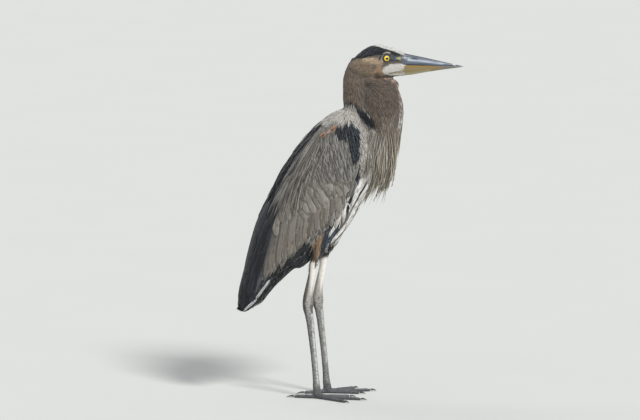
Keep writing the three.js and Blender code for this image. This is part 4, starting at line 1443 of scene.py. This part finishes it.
def bill_ring(bill, x):
    """The outline of the mandible's section at x, round from the top."""
    table = np.array(bill.stations)
    top_x, top_z, low_x, low_z, half = (np.interp(x, table[:, 0], column) for column in table.T)
    groove = bill.groove * blend_step(x, 112, 122) * (1 - blend_step(x, 165, 205))
    nostril = bill.groove * blend_step(x, 130, 135) * (1 - blend_step(x, 143, 149))
    side = []
    for place, (aside, height) in enumerate(bill.section):
        if place == 3:
            aside -= 0.13 * groove + 0.2 * nostril
        side.append((low_x + (top_x - low_x) * height, aside * half, low_z + (top_z - low_z) * height))
    return side + [(px, -py, pz) for px, py, pz in side[-2:0:-1]]


def loft(rings):
    """Rings joined one to the next, with both ends closed."""
    work = bmesh.new()
    made = []
    for ring in rings:
        verts = [work.verts.new(Vector(p) * MM) for p in ring]
        made.append((verts, [work.edges.new(pair) for pair in zip(verts, verts[1:] + verts[:1])]))
    for (_, first), (_, second) in zip(made, made[1:]):
        bmesh.ops.bridge_loops(work, edges=first + second)
    for verts, edges in (made[0], made[-1]):
        bmesh.ops.contextual_create(work, geom=verts + edges)
    bmesh.ops.recalc_face_normals(work, faces=work.faces)
    return work


def finished(name, work, dress, replaced, base, strokes=()):
    """A piece of horn from a bmesh: subdivided, with its shape kept in its mesh, and painted."""
    piece = placed(name, as_mesh(work, name))
    smooth = piece.modifiers.new("Subdivision", "SUBSURF")
    smooth.levels = smooth.render_levels = 2
    mesh = applied(piece)
    mesh.name = name
    mesh.materials.append(dress)
    set_attribute(mesh, "Coat", markings(coordinates(mesh), base, strokes))
    link_piece(name, mesh, (replaced,))


class HERON_OT_bill(HeronPiece):
    """The two mandibles, with the groove and slit of the nostrils"""

    bl_idname = "heron.bill"
    bl_label = "Bill"
    needs_skin = False

    def make(self, sizes, rng):
        STEPS = (
            109, 114, 119, 124, 128, 131, 134, 138, 142, 146, 150,
            157, 165, 176, 188, 200, 212, 224, 234, 242, 246.5, 249,
        )
        upper = loft([bill_ring(UPPER, x) for x in STEPS])
        lower = loft([bill_ring(LOWER, x) for x in STEPS if x < 244] + [bill_ring(LOWER, 244)])
        slate = material("Bill horn, slate", horn, 0.72, 1.3, 3.03, 0.36)
        olive = material("Bill horn, olive", horn, 0.86, 1.14, 3.85, 0.4)
        finished("bill_upper_horn", upper, slate, "bill_upper", ("#525a65",), (
            # a painted highlight along the side of the upper mandible
            Stroke(("#8f98a3",), ((128, 745, 2.0), (165, 741.5, 2.0), (205, 736.5, 1.4)), 3),
            Stroke(("#353a43",), ((112, 762, 3), (140, 756, 2.6), (190, 745, 2), (240, 733, 1)), 2.5),
            # painted shade in the nostril slit
            Stroke(("#20242b",), ((133, 749.4, 0.8), (147, 747.4, 0.6)), 1.0),
            Stroke(("#3d444f",), ((120, 736.2, 1.2), (165, 734.4, 1.2), (222, 731.4, 0.8)), 1.6),
            Stroke(("#3a3d42",), ((226, 734, 4), (250, 730, 3)), 8),
            Stroke(("#cfcbc2",), ((227, 735.4, 1.1), (231, 733.6, 0.7)), 1.2),
        ))
        finished("bill_lower_horn", lower, olive, "bill_lower", ("#80724d",), (
            Stroke(("#a39a7d",), ((112, 713, 3), (140, 715, 3), (175, 721, 2)), 5),
            Stroke(
                ("#86662f",), ((118, 731.6, 1.6), (150, 731.6, 1.8), (185, 731.0, 1.4), (208, 730.4, 0.8)),
                1.6,
            ),
            Stroke(("#6d6f6a",), ((205, 727, 4), (246, 729, 3)), 14),
        ))


class HERON_OT_eyes(HeronPiece):
    """Yellow eyes with a bulging cornea, each turned out and a little forward"""

    bl_idname = "heron.eyes"
    bl_label = "Eyes"
    needs_skin = False

    def make(self, sizes, rng):
        IRIS, BULGE = 7.6, 0.5
        for name, side in SIDES.items():
            centre, gaze = eye_frame(side)
            work = bmesh.new()
            bmesh.ops.create_uvsphere(work, u_segments=40, v_segments=28, radius=EYE_RADIUS * MM)
            turn = Vector((0, 0, 1)).rotation_difference(Vector(gaze)).to_matrix()
            bmesh.ops.rotate(work, verts=work.verts, matrix=turn)
            bmesh.ops.translate(work, verts=work.verts, vec=Vector(centre) * MM)
            mesh = as_mesh(work, "eyeball_" + name)
            points = coordinates(mesh)
            forward = (points - centre) @ gaze
            ring = np.linalg.norm(points - centre - forward[:, None] * gaze, axis=1)
            lens = (forward > 0) * (1 - blend_step(ring, 1.5, 6.0))
            set_coordinates(mesh, points + gaze * (BULGE * lens)[:, None])
            set_attribute(mesh, "Radial", np.where(forward > 0, ring / IRIS, 1.0))
            mesh.materials.append(material("Wet eye", wet_eye))
            link_piece("eyeball_" + name, mesh, ("eye_" + name,))


class HERON_OT_claws(HeronPiece):
    """Eight dark claws, rounded from the solid ones"""

    bl_idname = "heron.claws"
    bl_label = "Claws"
    needs_skin = False

    def make(self, sizes, rng):
        dark = material("Claw horn, dark", horn, 0.8, 1.2, 2.0, 0.42)
        for side in SIDES:
            for toe in CLAWS:
                node = f"claw_{toe}_{side}"
                work = bmesh.new()
                work.from_mesh(NODES[node].data)
                bmesh.ops.remove_doubles(work, verts=work.verts, dist=SAME)
                finished(f"horn_{toe}_{side}", work, dark, node, ("#3a3734",))


# ---------------------------------------------------------------- stage
class HERON_OT_studio(HeronPiece):
    """A plain pale floor, soft lights and the camera"""

    bl_idname = "heron.studio"
    bl_label = "Studio"
    needs_skin = False

    def make(self, sizes, rng):
        FOCAL, SENSOR, FAR, RISE = 306.8, 36, 12, math.radians(7)
        scene = bpy.context.scene
        work = bmesh.new()
        bmesh.ops.create_grid(work, x_segments=2, y_segments=2, size=40)
        mesh = as_mesh(work, "floor")
        mesh.materials.append(material("Matt floor paint", floor_paint, sizes.floor_hex))
        floor = placed("floor", mesh)
        target = Vector((-0.06545, 0, 0.4134))
        self.sun("key", Vector((2.4, -3.4, 3.8)), 3.2, 14)
        self.sun("fill", Vector((-3.2, 2.8, 3.4)), 0.9, 40)
        world = bpy.data.worlds.new("Studio air")
        world.use_nodes = True
        air = world.node_tree.nodes["Background"].inputs
        air["Color"].default_value = (0.86, 0.9, 0.96, 1)
        air["Strength"].default_value = 0.58
        scene.world = world
        scene.view_settings.view_transform = "Standard"
        lens = bpy.data.cameras.new("camera")
        lens.lens, lens.sensor_width, lens.clip_end = FOCAL, SENSOR, 200
        camera = placed("camera", lens)
        camera.location = target + FAR * Vector((0, -math.cos(RISE), math.sin(RISE)))
        camera.rotation_euler = (target - camera.location).to_track_quat("-Z", "Y").to_euler()
        scene.camera = camera

    def sun(self, name, place, strength, softness):
        """A soft light from far away; softness is the angle it fills, in degrees."""
        light = bpy.data.lights.new(name, "SUN")
        light.energy, light.angle = strength, math.radians(softness)
        placed(name, light).rotation_euler = place.to_track_quat("Z", "Y").to_euler()


# ---------------------------------------------------------------- the add-on
class HeronSizes(bpy.types.PropertyGroup):
    """What the panel lets the maker change"""

    face_spacing: bpy.props.FloatProperty(
        name="Face spacing",
        description="Between the roots of the feathers on the face",
        default=0.0015,
        unit="LENGTH",
    )
    neck_spacing: bpy.props.FloatProperty(
        name="Neck spacing",
        description="Between the roots of the feathers on the neck",
        default=0.0026,
        unit="LENGTH",
    )
    floor_hex: bpy.props.StringProperty(
        name="Floor", description="The floor paint's colour, as an sRGB hex value", default="#c2c2bd"
    )


PIECES = (
    HERON_OT_skin, HERON_OT_face, HERON_OT_neck, HERON_OT_plumes, HERON_OT_body_coat, HERON_OT_belly,
    HERON_OT_thighs, HERON_OT_wrist, HERON_OT_coverts, HERON_OT_flight, HERON_OT_scapulars, HERON_OT_tail,
    HERON_OT_bill, HERON_OT_eyes, HERON_OT_claws, HERON_OT_studio,
)


class HERON_PT_panel(bpy.types.Panel):
    """Lists the operators and sizes of the heron"""

    bl_idname = "HERON_PT_panel"
    bl_label = "Great blue heron"
    bl_space_type = "VIEW_3D"
    bl_region_type = "UI"
    bl_category = "Heron"

    def draw(self, context):
        for name in HeronSizes.__annotations__:
            self.layout.prop(context.scene.heron, name)
        for piece in PIECES:
            self.layout.operator(piece.bl_idname)


def register():
    bpy.utils.register_class(HeronSizes)
    bpy.types.Scene.heron = bpy.props.PointerProperty(type=HeronSizes)
    for piece in (*PIECES, HERON_PT_panel):
        bpy.utils.register_class(piece)


def unregister():
    for piece in (HERON_PT_panel, *reversed(PIECES)):
        bpy.utils.unregister_class(piece)
    del bpy.types.Scene.heron
    bpy.utils.unregister_class(HeronSizes)


def main():
    register()
    for piece in PIECES:
        getattr(bpy.ops.heron, piece.bl_idname.split(".")[1])()


if __name__ == "__main__":
    main()
